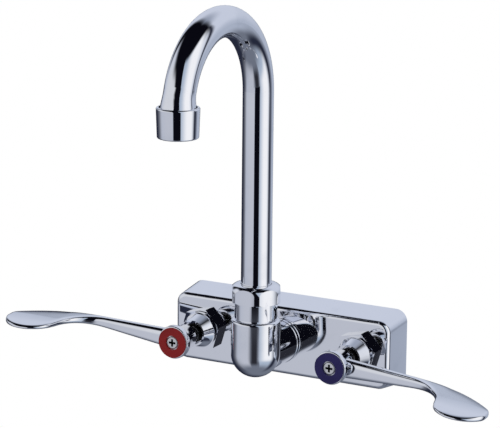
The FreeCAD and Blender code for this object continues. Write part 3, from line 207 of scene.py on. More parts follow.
# %% Light zones on a dome
DOME_RADIUS = 1.6
DOME_CENTRE = (0, -0.06, 0.0)
HIGH_PAPER = (0.60, 0.645, 0.76, 1)
BACK_PAPER = (0.42, 0.47, 0.58, 1)
LOW_PAPER = (0.16, 0.18, 0.23, 1)
SHADE = (0.02, 0.024, 0.045, 1)
LEFT_BOX = (0.52, 0.545, 0.62, 1)
LEFT_HIGH = (0.68, 0.70, 0.745, 1)
HALO = (0.27, 0.31, 0.40, 1)
RIGHT_BOX = (0.95, 0.955, 0.98, 1)
RIGHT_RIM = (0.42, 0.50, 0.62, 1)
GAP = (0.003, 0.003, 0.006, 1)
LOW_GAP = (0.025, 0.026, 0.035, 1)

# Heights, in degrees, over which one paper turns into the next
LOW_TO_BACK = (-40, -12)
BACK_TO_HIGH = (-4, 26)
# The ceiling's soft back edge, in metres in front of the faucet for each metre above it. Both
# its limits are below zero, so it lies behind the faucet. To the sides it runs further back.
CEILING_BACK = (-0.39, -0.15)
CEILING_SPREAD = 0.33
CEILING_LOW = (40, 8)       # the height where it fades away, and how softly, in degrees
ALMOST_LEVEL = 0.05         # keeps the division by height away from zero

# Colour, compass from and to, height from and to. Each edge has its place and its softness, and
# a leaning edge has a third number: how far it shifts back for each degree of height.
ZONES_BEHIND = [
    (SHADE, (-165, 16), (-70, 12), (-60, 20), (4, 4)),
    (SHADE, (112, 14), (142, 12), (-60, 20), (-2, 6)),
    (SHADE, (120, 4), (129, 4), (-6, 6), (56, 8)),
    (HALO, (-200, 1), (200, 1), (60, 16), (100, 1)),
]
ZONES_IN_FRONT = [
    (GAP, (-122, 6), (-98, 8), (14, 8), (50, 5)),
    (GAP, (-60, 20), (50, 5), (20, 4), (60, 1)),
    (LEFT_BOX, (-68, 42), (3, 4), (-48, 16), (25, 3)),
    (LEFT_HIGH, (-85, 28), (2, 5), (-2, 8), (36, 8)),
    (GAP, (33, 8, 1.5), (50, 5), (14, 5), (60, 1)),
    (RIGHT_RIM, (40, 2, 0.25), (110, 14), (-48, 16), (53, 5)),
    (RIGHT_BOX, (58, 22), (112, 14), (-26, 8), (53, 5)),
    (LOW_GAP, (2, 14), (40, 10), (-44, 12), (-14, 2)),
    (GAP, (3, 1.5, 0.13), (40, 2, 0.25), (-15, 1), (30, 4)),
]


def edge(angle, place_and_softness, height=None):
    """A zone's edge: 0 before it and 1 past it, with a soft change between."""
    place, softness, *lean = place_and_softness
    if lean:
        angle = angle + height * lean[0]
    return rise(angle, place - softness, place + softness)


def lay_zones(colour, zones, compass, height):
    """Lays the zones over a colour, each over the ones before it."""
    for zone_colour, left, right, low, high in zones:
        share = edge(compass, left, height) * (1 - edge(compass, right, height))
        share = share * edge(height, low) * (1 - edge(height, high))
        colour = mix_colours(share, colour, zone_colour)
    return colour


def dome_material():
    """Light that depends only on the direction in which a reflection looks."""
    material = bpy.data.materials.new("studio_dome")
    material.use_nodes = True
    tree = material.node_tree
    tree.nodes.clear()
    x, y, z = split(object_place(tree))
    to_degrees = 180 / math.pi
    compass = maths("ARCTAN2", x, 0 - y) * to_degrees
    height = maths("ARCSINE", z / DOME_RADIUS) * to_degrees
    colour = mix_colours(rise(height, *LOW_TO_BACK), LOW_PAPER, BACK_PAPER)
    colour = mix_colours(rise(height, *BACK_TO_HIGH), colour, HIGH_PAPER)
    colour = lay_zones(colour, ZONES_BEHIND, compass, height)
    in_front = (absolute(x) * CEILING_SPREAD - y) / maths("MAXIMUM", z, ALMOST_LEVEL)
    ceiling = rise(in_front, *CEILING_BACK) * edge(height, CEILING_LOW)
    colour = mix_colours(ceiling, colour, GAP)
    colour = lay_zones(colour, ZONES_IN_FRONT, compass, height)
    glow = add_node(tree, "ShaderNodeEmission", {}, {"Color": colour})
    output = tree.nodes.new("ShaderNodeOutputMaterial")
    tree.links.new(glow.socket, output.inputs["Surface"])
    return material


def add_shape(name, material, build, **sizes):
    """A new object with the mesh that a bmesh operation makes."""
    shape = bmesh.new()
    build(shape, **sizes)
    mesh = bpy.data.meshes.new(name)
    shape.to_mesh(mesh)
    shape.free()
    mesh.materials.append(material)
    return add_object(name, mesh)


dome = add_shape("studio_dome", dome_material(), bmesh.ops.create_uvsphere,
                 u_segments=128, v_segments=64, radius=DOME_RADIUS)
dome.location = DOME_CENTRE
dome.visible_camera = False
dome.visible_diffuse = False
dome.visible_shadow = False
print("zones of light:", len(ZONES_BEHIND) + len(ZONES_IN_FRONT))

# %% [markdown]
# ## White paper, lamps and the world
#
# The faucet was cut out on white. The world is white for the camera and for reflections
# that pass the dome, and a little darker as a light, so that pale plastics don't clip. Three
# large lamps give the soft modelling on everything that isn't metal.

# %% World, floor and lamps
LIGHT_LEVEL = 0.62
FLOOR_PLACE = (0, -0.1, -0.32)
FLOOR_REACH = 0.55
PAPER_WHITE = (0.86, 0.86, 0.87, 1)
PAPER_ROUGHNESS = 0.9
LAMP_AIM = Vector((0, -0.06, 0.05))
# Name, place, width in metres, watts
LAMPS = [("left_lamp", (-0.9, -0.9, 0.5), 0.7, 2.0),
         ("right_lamp", (1.1, -0.5, 0.4), 0.7, 2.4),
         ("top_lamp", (0.0, -0.2, 1.1), 0.9, 2.0)]

bpy.context.scene.view_settings.view_transform = "Standard"
world = bpy.data.worlds.new("studio_world")
bpy.context.scene.world = world
world.use_nodes = True
tree = world.node_tree
tree.nodes.clear()
rays = tree.nodes.new("ShaderNodeLightPath")
seen, mirrored, through = [Wire(rays.outputs["Is %s Ray" % kind])
                           for kind in ("Camera", "Glossy", "Transmission")]
shown = maths("MINIMUM", seen + mirrored + through, 1.0)
glow = add_node(tree, "ShaderNodeBackground", {},
                {"Color": (1, 1, 1, 1), "Strength": LIGHT_LEVEL + (1 - LIGHT_LEVEL) * shown})
output = tree.nodes.new("ShaderNodeOutputWorld")
tree.links.new(glow.socket, output.inputs["Surface"])

paper = bpy.data.materials.new("white_paper")
paper.use_nodes = True
principled = paper.node_tree.nodes["Principled BSDF"]
principled.inputs["Base Color"].default_value = PAPER_WHITE
principled.inputs["Roughness"].default_value = PAPER_ROUGHNESS
floor = add_shape("paper_floor", paper, bmesh.ops.create_grid,
                  x_segments=8, y_segments=8, size=FLOOR_REACH)
floor.location = FLOOR_PLACE
floor.visible_glossy = False

for name, place, width, watts in LAMPS:
    light = bpy.data.lights.new(name, "AREA")
    light.size = width
    light.energy = watts
    lamp = add_object(name, light)
    lamp.location = place
    lamp.rotation_mode = "QUATERNION"
    lamp.rotation_quaternion = (LAMP_AIM - lamp.location).to_track_quat("-Z", "Y")
    lamp.visible_glossy = False
print("lamps:", [name for name, *_ in LAMPS])

# %% [markdown]
# ## Chrome plate
#
# Chrome is brass under a few microns of nickel and chromium. It copies every hollow of the
# polished brass below, so a cast body mirrors with a gentle swim, while a drawn tube is
# true. On top come the wiping marks of a polished thing that is handled: faint cloudy
# patches, a little rougher than the rest.
#
# A polishing wheel also wears flat faces slightly round. The body's face falls away towards
# its edges, the nut's flats turn a little, and a blade drops towards its far edge. That shows
# in reflections and nowhere else, so the finish holds it and the mesh doesn't.

# %% Make the chrome finishes
def new_finish(name):
    """A material with only its Principled shader and output, ready for wires."""
    material = bpy.data.materials.new(name)
    material.use_nodes = True
    return material, material.node_tree, material.node_tree.nodes["Principled BSDF"]


def set_shader(tree, principled, values):
    """Sets the shader's sockets: a Wire is linked and anything else is written in."""
    for name, value in values.items():
        if isinstance(value, Wire):
            tree.links.new(value.socket, principled.inputs[name])
        else:
            principled.inputs[name].default_value = value


def noise(tree, scale, detail):
    """Soft random patches, so many to the metre."""
    return add_node(tree, "ShaderNodeTexNoise", {"noise_dimensions": "3D"},
                    {"Vector": object_place(tree), "Scale": scale, "Detail": detail})


def bump(tree, height, distance, normal=None):
    """The normal of a surface with these heights on it, or on another normal."""
    inputs = {"Height": height, "Distance": distance}
    if normal:
        inputs["Normal"] = normal
    return add_node(tree, "ShaderNodeBump", {}, inputs, output="Normal")


CLEAN_CHROME = (0.90, 0.905, 0.93, 1)
WIPED_CHROME = (0.84, 0.85, 0.88, 1)
MIRROR_ROUGHNESS = 0.028
# Half the width and half the height of the body's face, and how far its edges are lowered
BODY_HALF_WIDTH = 0.0697
BODY_HALF_HEIGHT = 0.0185
BODY_CROWN = 0.00035
LEVEL = (1, 1, 0)           # times this, a direction keeps x and y and loses z
FLAT_TURN = 46.0            # how much the nut's normal turns for each metre along a flat
BLADE_TURN = 12.5           # and the blade's, for each metre behind its front
BLADE_FRONT = -0.086
BLADE_GROWS = (0.045, 0.075)    # distances from the valve over which the arm becomes a blade


def vectors(operation, first, second=(0, 0, 0)):
    """A Vector Math node. At least one of its two values is a wire."""
    return maths(operation, first, second, kind="ShaderNodeVectorMath")


def surface_normal(tree):
    return add_node(tree, "ShaderNodeNewGeometry", {}, {}, output="Normal")


def crown_fall(tree):
    """How far polishing has lowered the body's face here: nothing amid it, most at its edges."""
    x, y, z = split(object_place(tree))
    along = x / BODY_HALF_WIDTH
    across = z / BODY_HALF_HEIGHT
    along = along * along
    across = across * across
    return BODY_CROWN * (along * along * along + across * across)


def buffed_flats(tree):
    """The normal of the nut with its flats buffed round, and its round parts as they are."""
    normal = surface_normal(tree)
    outwards = vectors("MULTIPLY", normal, LEVEL)
    off_axis = vectors("MULTIPLY", vectors("SUBTRACT", object_place(tree), SPOUT_AXIS), LEVEL)
    along_flat = vectors("CROSS_PRODUCT", outwards, vectors("CROSS_PRODUCT", off_axis, outwards))
    turned = vectors("ADD", normal, vectors("MULTIPLY", along_flat, (FLAT_TURN,) * 3))
    return vectors("NORMALIZE", turned)


def crowned_blade(tree):
    """The normal of a handle whose blade falls away more and more towards its far edge."""
    x, y, z = split(object_place(tree))
    fall = (y - BLADE_FRONT) * BLADE_TURN * rise(absolute(x) - VALVE_X, *BLADE_GROWS)
    backwards = add_node(tree, "ShaderNodeCombineXYZ", {}, {"Y": fall})
    return vectors("NORMALIZE", vectors("ADD", surface_normal(tree), backwards))


def chrome(name, swim, swim_scale, wiped=0.03, lowered=None, turned=None):
    """Mirror chrome. Swim is the height of its hollows in metres, and swim_scale says how many
    there are to the metre.

    Lowered and turned are functions for what polishing has done: the first gives how far it has
    lowered the surface, and the second the normal that it has left.
    """
    material, tree, principled = new_finish(name)
    smudges = rise(noise(tree, scale=55, detail=4), start=0.52, end=0.72)
    fine = noise(tree, scale=420, detail=3)
    height = swim * noise(tree, scale=swim_scale, detail=1.5)
    if lowered:
        height = height - lowered(tree)
    set_shader(tree, principled, {
        "Base Color": mix_colours(smudges, CLEAN_CHROME, WIPED_CHROME), "Metallic": 1.0,
        "Roughness": MIRROR_ROUGHNESS + wiped * smudges + 0.01 * fine,
        "Normal": bump(tree, height, 1.0, turned(tree) if turned else None)})
    return material


drawn_chrome = chrome("drawn_chrome", swim=0.000004, swim_scale=60)
cast_chrome = chrome("cast_chrome", swim=0.00003, swim_scale=45)
body_chrome = chrome("body_chrome", swim=0.00003, swim_scale=45, lowered=crown_fall)
turned_chrome = chrome("turned_chrome", swim=0.000003, swim_scale=90, wiped=0.02)
nut_chrome = chrome("nut_chrome", swim=0.00001, swim_scale=70, turned=buffed_flats)
blade_chrome = chrome("blade_chrome", swim=0.00003, swim_scale=45, turned=crowned_blade)
print("chromes:", [finish.name for finish in (drawn_chrome, cast_chrome, body_chrome,
                                              turned_chrome, nut_chrome, blade_chrome)])

# %% [markdown]
# ## Plastics, rubber, brass and steel
#
# The colour rings are moulded plastic with a soft shine. The seals are black rubber with a
# bloom of silicone grease, the washers are natural plastic, the discs are lapped ceramic, and
# the parts that water washes are plain machined brass that has dulled in patches. The brass
# inside each bonnet's mouth and the cross in each screw are painted dark as shade.

# %% Make the other finishes
def moulded(name, colour, darker, roughness, grain, shine=0.5):
    """Moulded plastic: nearly even in colour, with a fine orange-peel surface."""
    material, tree, principled = new_finish(name)
    patches = rise(noise(tree, scale=90, detail=3), start=0.4, end=0.7)
    set_shader(tree, principled, {
        "Base Color": mix_colours(patches, colour, darker),
        "Roughness": roughness + 0.08 * patches, "Specular IOR Level": shine,
        "Normal": bump(tree, noise(tree, scale=1400, detail=2), grain)})
    return material


def machined(name, colour, dulled, roughness, grain, painted_shade=None):
    """Turned metal: fine tool marks, and patches where it has dulled.

    The last argument is a pair: a function for the share of painted shade, and the shade's colour.
    """
    material, tree, principled = new_finish(name)
    patches = rise(noise(tree, scale=130, detail=5), start=0.42, end=0.66)
    marks = noise(tree, scale=2600, detail=1)
    surface = mix_colours(patches, colour, dulled)
    # lays painted shade over the metal's colour
    if painted_shade:
        share_of_shade, shade_colour = painted_shade
        surface = mix_colours(share_of_shade(tree), surface, shade_colour)
    set_shader(tree, principled, {
        "Base Color": surface, "Metallic": 1.0,
        "Roughness": roughness + 0.15 * patches + 0.05 * marks, "Normal": bump(tree, marks, grain)})
    return material


# Painted shade: valve brass goes dark in front of this depth, inside the bonnet's mouth
MOUTH_SHADE = (0.035, 0.032, 0.028, 1)
MOUTH_SHADE_FROM = 0.031         # depth in front of the wall
MOUTH_SHADE_EDGE = 0.001
# Painted shade in the screws' cross recesses, and the size of the recess
CROSS_SHADE = (0.012, 0.012, 0.012, 1)
CROSS_SHADE_EDGE = 0.0001
CROSS_HALF_LENGTH = 0.0022
CROSS_HALF_WIDTH = 0.0006


def painted_mouth_shade(tree):
    """Painted shade on the front of a valve's brass, where it lies inside the bonnet's mouth."""
    x, y, z = split(object_place(tree))
    return rise(0 - y, MOUTH_SHADE_FROM, MOUTH_SHADE_FROM + MOUTH_SHADE_EDGE)


def painted_cross_shade(tree):
    """Painted shade in the cross recess of a handle's screw."""
    x, y, z = split(object_place(tree))
    across = absolute(absolute(x) - VALVE_X)
    up = absolute(z)
    near = rise(maths("MINIMUM", across, up), CROSS_HALF_WIDTH + CROSS_SHADE_EDGE, CROSS_HALF_WIDTH)
    inside = rise(maths("MAXIMUM", across, up), CROSS_HALF_LENGTH + CROSS_SHADE_EDGE, CROSS_HALF_LENGTH)
    return near * inside


RING_FINISH = {"roughness": 0.36, "grain": 0.00001, "shine": 0.14}
BRASS = (0.74, 0.56, 0.27, 1)
DULL_BRASS = (0.56, 0.41, 0.19, 1)
red_ring = moulded("red_ring", (0.215, 0.011, 0.012, 1), (0.18, 0.009, 0.010, 1), **RING_FINISH)
blue_ring = moulded("blue_ring", (0.020, 0.016, 0.09, 1), (0.016, 0.013, 0.075, 1),
                    **RING_FINISH)
rubber = moulded("black_rubber", (0.018, 0.018, 0.019, 1), (0.035, 0.035, 0.036, 1),
                 roughness=0.55, grain=0.00002)
white_plastic = moulded("natural_plastic", (0.80, 0.79, 0.75, 1), (0.74, 0.73, 0.69, 1),
                        roughness=0.45, grain=0.00001)
grey_plastic = moulded("grey_plastic", (0.20, 0.21, 0.225, 1), (0.17, 0.18, 0.195, 1),
                       roughness=0.35, grain=0.00001)
ceramic = moulded("lapped_ceramic", (0.84, 0.83, 0.79, 1), (0.80, 0.79, 0.75, 1),
                  roughness=0.16, grain=0.000004)
brass = machined("machined_brass", BRASS, DULL_BRASS, roughness=0.26, grain=0.00001)
# valve brass with painted shade on its front, inside the bonnet's mouth
valve_brass = machined("valve_brass", BRASS, DULL_BRASS, roughness=0.26, grain=0.00001,
                       painted_shade=(painted_mouth_shade, MOUTH_SHADE))
clip_steel = machined("spring_steel", (0.50, 0.50, 0.51, 1), (0.38, 0.38, 0.39, 1),
                      roughness=0.30, grain=0.00001)
# screw steel with painted shade in its cross recess
screw_steel = machined("screw_steel", (0.80, 0.79, 0.77, 1), (0.66, 0.65, 0.62, 1),
                       roughness=0.30, grain=0.00001, painted_shade=(painted_cross_shade, CROSS_SHADE))
wire_steel = machined("wire_steel", (0.62, 0.62, 0.63, 1), (0.50, 0.50, 0.51, 1),
                      roughness=0.28, grain=0.000005)
print("rings:", red_ring.name, blue_ring.name)
print("metals:", [finish.name for finish in (brass, valve_brass, clip_steel, screw_steel,
                                             wire_steel)])

# %% [markdown]
# ## Dress the CAD nodes
#
# Each CAD node keeps its mesh and only changes its material. The table goes by the end of
# the node's name, because the hot and cold valves are alike but for their colour rings.

# %% Give every node its finish
FINISHES = {
    "body_casting": body_chrome, "outlet_elbow": cast_chrome, "elbow_lock_ring": turned_chrome,
    "spout_nut": nut_chrome, "spout_tube": drawn_chrome, "aerator_shell": turned_chrome,
    "elbow_seal": rubber, "spout_sleeve": brass, "spout_o_rings": rubber,
    "spout_glide_ring": white_plastic, "aerator_insert": grey_plastic,
    "aerator_screen": wire_steel, "aerator_washer": rubber,
    "bonnet": turned_chrome, "cartridge": valve_brass, "seat_seal": rubber,
    "glide_washer": white_plastic, "fixed_disc": ceramic, "moving_disc": ceramic,
    "stem": valve_brass, "stem_clip": clip_steel,
    "stem_o_rings": rubber, "handle": cast_chrome, "hot_index_ring": red_ring,
    "cold_index_ring": blue_ring, "handle_screw": screw_steel}
for name, node in nodes.items():
    shared = name.removeprefix("hot_").removeprefix("cold_")
    finish = FINISHES.get(name) or FINISHES[shared]
    node.data.materials.clear()
    node.data.materials.append(finish)
print("dressed", len(nodes), "nodes")

# %% [markdown]
# ## Wrist-blade handles
#
# A wrist blade is forged and then polished by hand, so it has no truly flat face: the arm is a
# softly crowned bar and the blade a thin pad with round edges. The CAD handle has the right
# outlines, but its faces are flat, and chrome shows that at once. So each arm is lofted here
# through cross-sections, like the frames of a ship, on the CAD's own plan and front outlines.
#
# The plan outline has straight arm edges and four arcs that run into each other: the long
# back edge, the tip, the front lobe, and the hollow where the lobe leaves the arm. `u` is the
# distance from the valve's axis and depth is the distance from the wall, in millimetres.

# %% Plan and front outlines of a blade
BACK_EDGE = ((0.0, 45.4), (62.0, 51.9))     # u and depth of its ends
FRONT_EDGE = ((0.0, 52.2), (49.0, 55.5))
BACK_RADIUS, TIP_RADIUS, LOBE_RADIUS, THROAT_RADIUS = 72.5, 9.8, 16.0, 25.0
REACH = 103.0
ARM_MIDDLE = 48.8
BLADE_HANG = math.tan(math.radians(4.8))


def beyond(line, radius):
    """Centre of the arc that carries on from a line's end and turns towards greater depth."""
    start, end = Vector(line[0]), Vector(line[1])
    way = (end - start).normalized()
    return end + Vector((-way.y, way.x)) * radius


def touching(a, a_radius, b, b_radius):
    """Centre at these distances from a and b, on the shallow side of the line between them."""
    span = b - a
    along = (a_radius ** 2 - b_radius ** 2 + span.length_squared) / (2 * span.length)
    away = math.sqrt(a_radius ** 2 - along ** 2)
    way = span.normalized()
    return a + way * along + Vector((way.y, -way.x)) * away


back_centre = beyond(BACK_EDGE, BACK_RADIUS)
tip_u = REACH - TIP_RADIUS
fall = math.sqrt((BACK_RADIUS - TIP_RADIUS) ** 2 - (tip_u - back_centre.x) ** 2)
tip_centre = Vector((tip_u, back_centre.y - fall))
throat_centre = beyond(FRONT_EDGE, THROAT_RADIUS)
lobe_centre = touching(throat_centre, THROAT_RADIUS + LOBE_RADIUS,
                       tip_centre, LOBE_RADIUS - TIP_RADIUS)
print("blade arcs centred on", back_centre, tip_centre, throat_centre, lobe_centre)


def on_arc(centre, radius, u, side):
    """Depth of an arc at u, on its shallow side (-1) or deep side (1)."""
    return centre.y + side * math.sqrt(max(radius ** 2 - (u - centre.x) ** 2, 0))


def along(line, u):
    """The value at u on the straight line through two points."""
    (u_a, a), (u_b, b) = line
    return a + (b - a) * (u - u_a) / (u_b - u_a)


def depths(u):
    """Depth of the back and front edge at u."""
    if u < BACK_EDGE[1][0]:
        back = along(BACK_EDGE, u)
    elif u < back_centre.x + (tip_u - back_centre.x) * BACK_RADIUS / (BACK_RADIUS - TIP_RADIUS):
        back = on_arc(back_centre, BACK_RADIUS, u, -1)
    else:
        back = on_arc(tip_centre, TIP_RADIUS, u, -1)
    hollow_end = throat_centre.x + (lobe_centre.x - throat_centre.x) * THROAT_RADIUS / (
        THROAT_RADIUS + LOBE_RADIUS)
    if u < FRONT_EDGE[1][0]:
        front = along(FRONT_EDGE, u)
    elif u < hollow_end:
        front = on_arc(throat_centre, THROAT_RADIUS, u, -1)
    elif u < lobe_centre.x + (tip_u - lobe_centre.x) * LOBE_RADIUS / (LOBE_RADIUS - TIP_RADIUS):
        front = on_arc(lobe_centre, LOBE_RADIUS, u, 1)
    else:
        front = on_arc(tip_centre, TIP_RADIUS, u, 1)
    return back, front


TOP_EDGE = ((-0.8, 4.6), (52.0, 4.3))       # u and height of its ends
LOW_EDGE = ((-0.8, -7.2), (60.0, -0.6))
CROWN_RADIUS = 1500.0
BLADE_THICKNESS = 3.5
TIP_ROUNDING = 1.9


def top_height(u):
    """The top edge, which past the arm droops a little on a large radius."""
    past = max(u - TOP_EDGE[1][0], 0)
    return along(TOP_EDGE, u) - past ** 2 / (2 * CROWN_RADIUS)


def low_height(u):
    """The arm's lower edge, which turns into the blade's underside over its heel."""
    heel_u = LOW_EDGE[1][0]
    if u <= heel_u:
        return along(LOW_EDGE, u)
    rise_rate = along(LOW_EDGE, 1) - along(LOW_EDGE, 0)
    blade_rate = top_height(heel_u + 1) - top_height(heel_u)
    gap = top_height(heel_u) - BLADE_THICKNESS - along(LOW_EDGE, heel_u)
    heel = 2 * gap / (rise_rate - blade_rate)
    past = min(u - heel_u, heel)
    raised = rise_rate * past - (rise_rate - blade_rate) * past ** 2 / (2 * heel)
    if past < heel:
        return along(LOW_EDGE, heel_u) + raised
    return top_height(u) - BLADE_THICKNESS


for u in (12, 49, 70, 88, 102):             # neck, arm's end, heel, lobe and tip
    print("u %5.1f  depths %.2f %.2f  heights %.2f %.2f"
          % (u, *depths(u), low_height(u), top_height(u)))

# %% [markdown]
# The cross-sections are superellipses: a power of 2 is an ellipse, and a higher power is
# boxier. The arm takes 2.6, which leaves a soft crown on every face. The blade is wide and
# thin, so it is boxier across and round in thickness. Points are shared out by length and by
# turning, so that both the faces and the tight edges get enough.

# %% Loft the arms
SECTION_POINTS = 64
DENSE_POINTS = 720          # tried ones, from which the section's are picked
NO_STEP = 1e-9              # a shorter step between two points has no direction
ARM_POWER = 2.6
BLADE_POWERS = (5.0, 2.2)   # across and in thickness
BLADE_START = 46.0          # u where the arm begins to turn into the blade
BLADE_GROWTH = 26.0         # and how far on it is one
TIP_START = 88.9            # from here on the sections crowd together towards the tip
NECK_STATIONS = [7.0, 8.5, 10.5, 13.0]
ARM_RINGS, BLADE_RINGS, TIP_RINGS = 11, 33, 21
ROOT_START = 2.0
ROOT_RADIUS = 6.0           # inside the wall of the hub's neck


def section(half_depth, half_height, depth_power, height_power):
    """A superellipse with its points spread evenly by length and by turning."""
    dense = []
    for k in range(DENSE_POINTS):
        angle = math.tau * k / DENSE_POINTS
        c, s = math.cos(angle), math.sin(angle)
        dense.append(Vector((half_depth * math.copysign(abs(c) ** (2 / depth_power), c),
                             half_height * math.copysign(abs(s) ** (2 / height_power), s))))
    steps = [dense[(k + 1) % DENSE_POINTS] - dense[k] for k in range(DENSE_POINTS)]
    total = sum(step.length for step in steps)
    travelled = [0.0]
    for k, step in enumerate(steps):
        turning = abs(steps[k - 1].angle_signed(step, 0)) if step.length > NO_STEP else 0
        travelled.append(travelled[-1] + step.length / total + turning / math.tau)
    picked = []
    k = 0
    for n in range(SECTION_POINTS):
        wanted = travelled[-1] * n / SECTION_POINTS
        while travelled[k + 1] < wanted:
            k += 1
        share = (wanted - travelled[k]) / (travelled[k + 1] - travelled[k])
        picked.append(dense[k % DENSE_POINTS].lerp(dense[(k + 1) % DENSE_POINTS], share))
    return picked


def arm_ring(u):
    """Cross-section of the arm or blade at u, as points (u, depth, height)."""
    back, front = depths(u)
    low, top = low_height(u), top_height(u)
    blade_share = min(max((u - BLADE_START) / BLADE_GROWTH, 0), 1)
    blade_share = blade_share ** 2 * (3 - 2 * blade_share)
    powers = [ARM_POWER + (power - ARM_POWER) * blade_share for power in BLADE_POWERS]
    to_tip = REACH - u
    roundness = 1.0
    if to_tip < TIP_ROUNDING:
        roundness = math.sqrt(1 - (1 - to_tip / TIP_ROUNDING) ** 2)
    ring = []
    for across, up in section((front - back) / 2, (top - low) / 2 * roundness, *powers):
        depth = (front + back) / 2 + across
        height = (top + low) / 2 + up - (depth - ARM_MIDDLE) * BLADE_HANG
        ring.append((u, depth, height))
    return ring


def arm_tip():
    """The point in which the tip closes."""
    low, top = low_height(REACH), top_height(REACH)
    return (REACH, tip_centre.y, (low + top) / 2 - (tip_centre.y - ARM_MIDDLE) * BLADE_HANG)


def evenly(start, end, count):
    """So many numbers after start, evenly spaced, the last of them end."""
    return [start + (end - start) * k / count for k in range(1, count + 1)]


def arm_mesh(shape):
    """Adds the closed arm and blade to a bmesh, with its root ring inside the neck's wall."""
    stations = NECK_STATIONS + evenly(NECK_STATIONS[-1], BLADE_START, ARM_RINGS)
    stations += evenly(BLADE_START, TIP_START, BLADE_RINGS)
    stations += [TIP_START + (REACH - TIP_START) * math.sin(angle)
                 for angle in evenly(0, math.pi / 2, TIP_RINGS + 1)[:-1]]
    root = [(math.sqrt(max(ROOT_RADIUS ** 2 - height ** 2, 0)), depth, height)
            for _, depth, height in arm_ring(ROOT_START)]
    rings = [[shape.verts.new(point) for point in ring]
             for ring in [root] + [arm_ring(u) for u in stations]]
    for inner, outer in zip(rings, rings[1:]):
        for k in range(SECTION_POINTS):
            after = (k + 1) % SECTION_POINTS
            shape.faces.new((inner[k], inner[after], outer[after], outer[k]))
    for ring, end in ((rings[0], (ROOT_RADIUS, ARM_MIDDLE, 0)), (rings[-1], arm_tip())):
        pole = shape.verts.new(end)
        for k in range(SECTION_POINTS):
            shape.faces.new((ring[k], ring[(k + 1) % SECTION_POINTS], pole))


shape = bmesh.new()
arm_mesh(shape)
bmesh.ops.recalc_face_normals(shape, faces=shape.faces)
print("arm: %d faces, %.2f cm3" % (len(shape.faces), abs(shape.calc_volume()) / 1000))
shape.free()

# %% [markdown]
# The hub is turned work, so its profile is spun round the valve's axis: a neck with the stem's
# socket behind, and a disc with a recess for the screw's head in front. A boolean union joins
# arm and hub into one skin, as the forging is.

# %% Spin the hubs and join them to the arms
SIDES = (("hot", -1), ("cold", 1))
HANDLE_REST = math.radians(3.55)            # clockwise, seen from the front
SHARP_ANGLE = math.radians(38)              # an edge that turns less is shaded smooth
HUB_SEGMENTS = 128
# Radius and depth round the hub's section: the neck's end and outside, the disc with its two
# round rims, the recess for the screw's head, the hole for the screw and the stem's socket
HUB_PROFILE = [
    (4.34, 44.0), (7.1, 44.0), (7.28, 44.09), (7.4, 44.3), (7.4, 54.2), (7.49, 54.41),
    (7.7, 54.5), (8.9, 54.5), (9.2, 54.56), (9.47, 54.74), (9.64, 55.0), (9.7, 55.3),
    (9.7, 57.9), (9.64, 58.21), (9.47, 58.47), (9.2, 58.64), (8.9, 58.7), (3.84, 58.7),
    (3.74, 58.6), (3.74, 56.64), (2.04, 56.64), (2.04, 54.64), (4.04, 54.64), (4.04, 44.3)]


def hub_mesh(shape):
    """Spins the hub's section round the valve's axis."""
    rings = []
    for k in range(HUB_SEGMENTS):
        angle = math.tau * k / HUB_SEGMENTS
        rings.append([shape.verts.new((r * math.cos(angle), depth, r * math.sin(angle)))
                      for r, depth in HUB_PROFILE])
    for k, ring in enumerate(rings):
        after = rings[(k + 1) % HUB_SEGMENTS]
        for n in range(len(HUB_PROFILE)):
            m = (n + 1) % len(HUB_PROFILE)
            shape.faces.new((ring[n], ring[m], after[m], after[n]))


def handle_part(build, hand):
    """One closed part of a handle, put in place in metres, as a new object."""
    shape = bmesh.new()
    build(shape)
    to_metres = Matrix.Diagonal((0.001 * hand, -0.001, 0.001, 1))
    place = (Matrix.Translation((hand * VALVE_X, 0, 0))
             @ Matrix.Rotation(HANDLE_REST, 4, "Y") @ to_metres)
    bmesh.ops.transform(shape, matrix=place, verts=shape.verts)
    bmesh.ops.recalc_face_normals(shape, faces=shape.faces)
    mesh = bpy.data.meshes.new("handle_part")
    shape.to_mesh(mesh)
    shape.free()
    return add_object("handle_part", mesh)


def settle(part, name, finish, slot, body, *replaced, place=Matrix.Identity(4)):
    """Turns a part with its modifiers into a plain mesh piece that rides on a body."""
    graph = bpy.context.evaluated_depsgraph_get()
    mesh = bpy.data.meshes.new_from_object(part.evaluated_get(graph), depsgraph=graph)
    bpy.data.objects.remove(part)
    shape = bmesh.new()
    shape.from_mesh(mesh)
    bmesh.ops.transform(shape, matrix=place, verts=shape.verts)
    bmesh.ops.recalc_face_normals(shape, faces=shape.faces)
    shape.to_mesh(mesh)
    shape.free()
    mesh.materials.clear()
    mesh.materials.append(finish)
    mesh.polygons.foreach_set("material_index", [0] * len(mesh.polygons))
    mesh.polygons.foreach_set("use_smooth", [True] * len(mesh.polygons))
    mesh.set_sharp_from_angle(angle=SHARP_ANGLE)
    mesh.name = name
    piece = add_object(name, mesh)
    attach(piece, body)
    if replaced:
        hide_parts(*replaced)
    return piece


for side, hand in SIDES:
    handle = handle_part(hub_mesh, hand)
    arm = handle_part(arm_mesh, hand)
    union = handle.modifiers.new("union", "BOOLEAN")
    union.operation = "UNION"
    union.solver = "EXACT"
    union.object = arm
    piece = settle(handle, side + "_wrist_blade", blade_chrome, "chrome", side + "_lever",
                   side + "_handle")
    bpy.data.objects.remove(arm)
    shape = bmesh.new()
    shape.from_mesh(piece.data)
    open_edges = [e for e in shape.edges if len(e.link_faces) != 2]
    print(piece.name, len(shape.faces), "faces,", len(open_edges), "open edges, %.2f cm3"
          % (shape.calc_volume() * 1e6))
    shape.free()

# %% [markdown]
# ## Small repeated forms with Geometry Nodes
#
# Threads, splines and woven wire are one small form repeated many times. A Geometry Nodes
# tree says this in a few nodes with named sizes, and can be used again for both inlets and
# both stems. The helper makes a tree with its inputs, and ends it in Realize Instances and
# Set Material, so that each result can be turned into a plain mesh.

# %% Helpers for Geometry Nodes
SOCKET_KINDS = {"Material": "NodeSocketMaterial", "Count": "NodeSocketInt"}


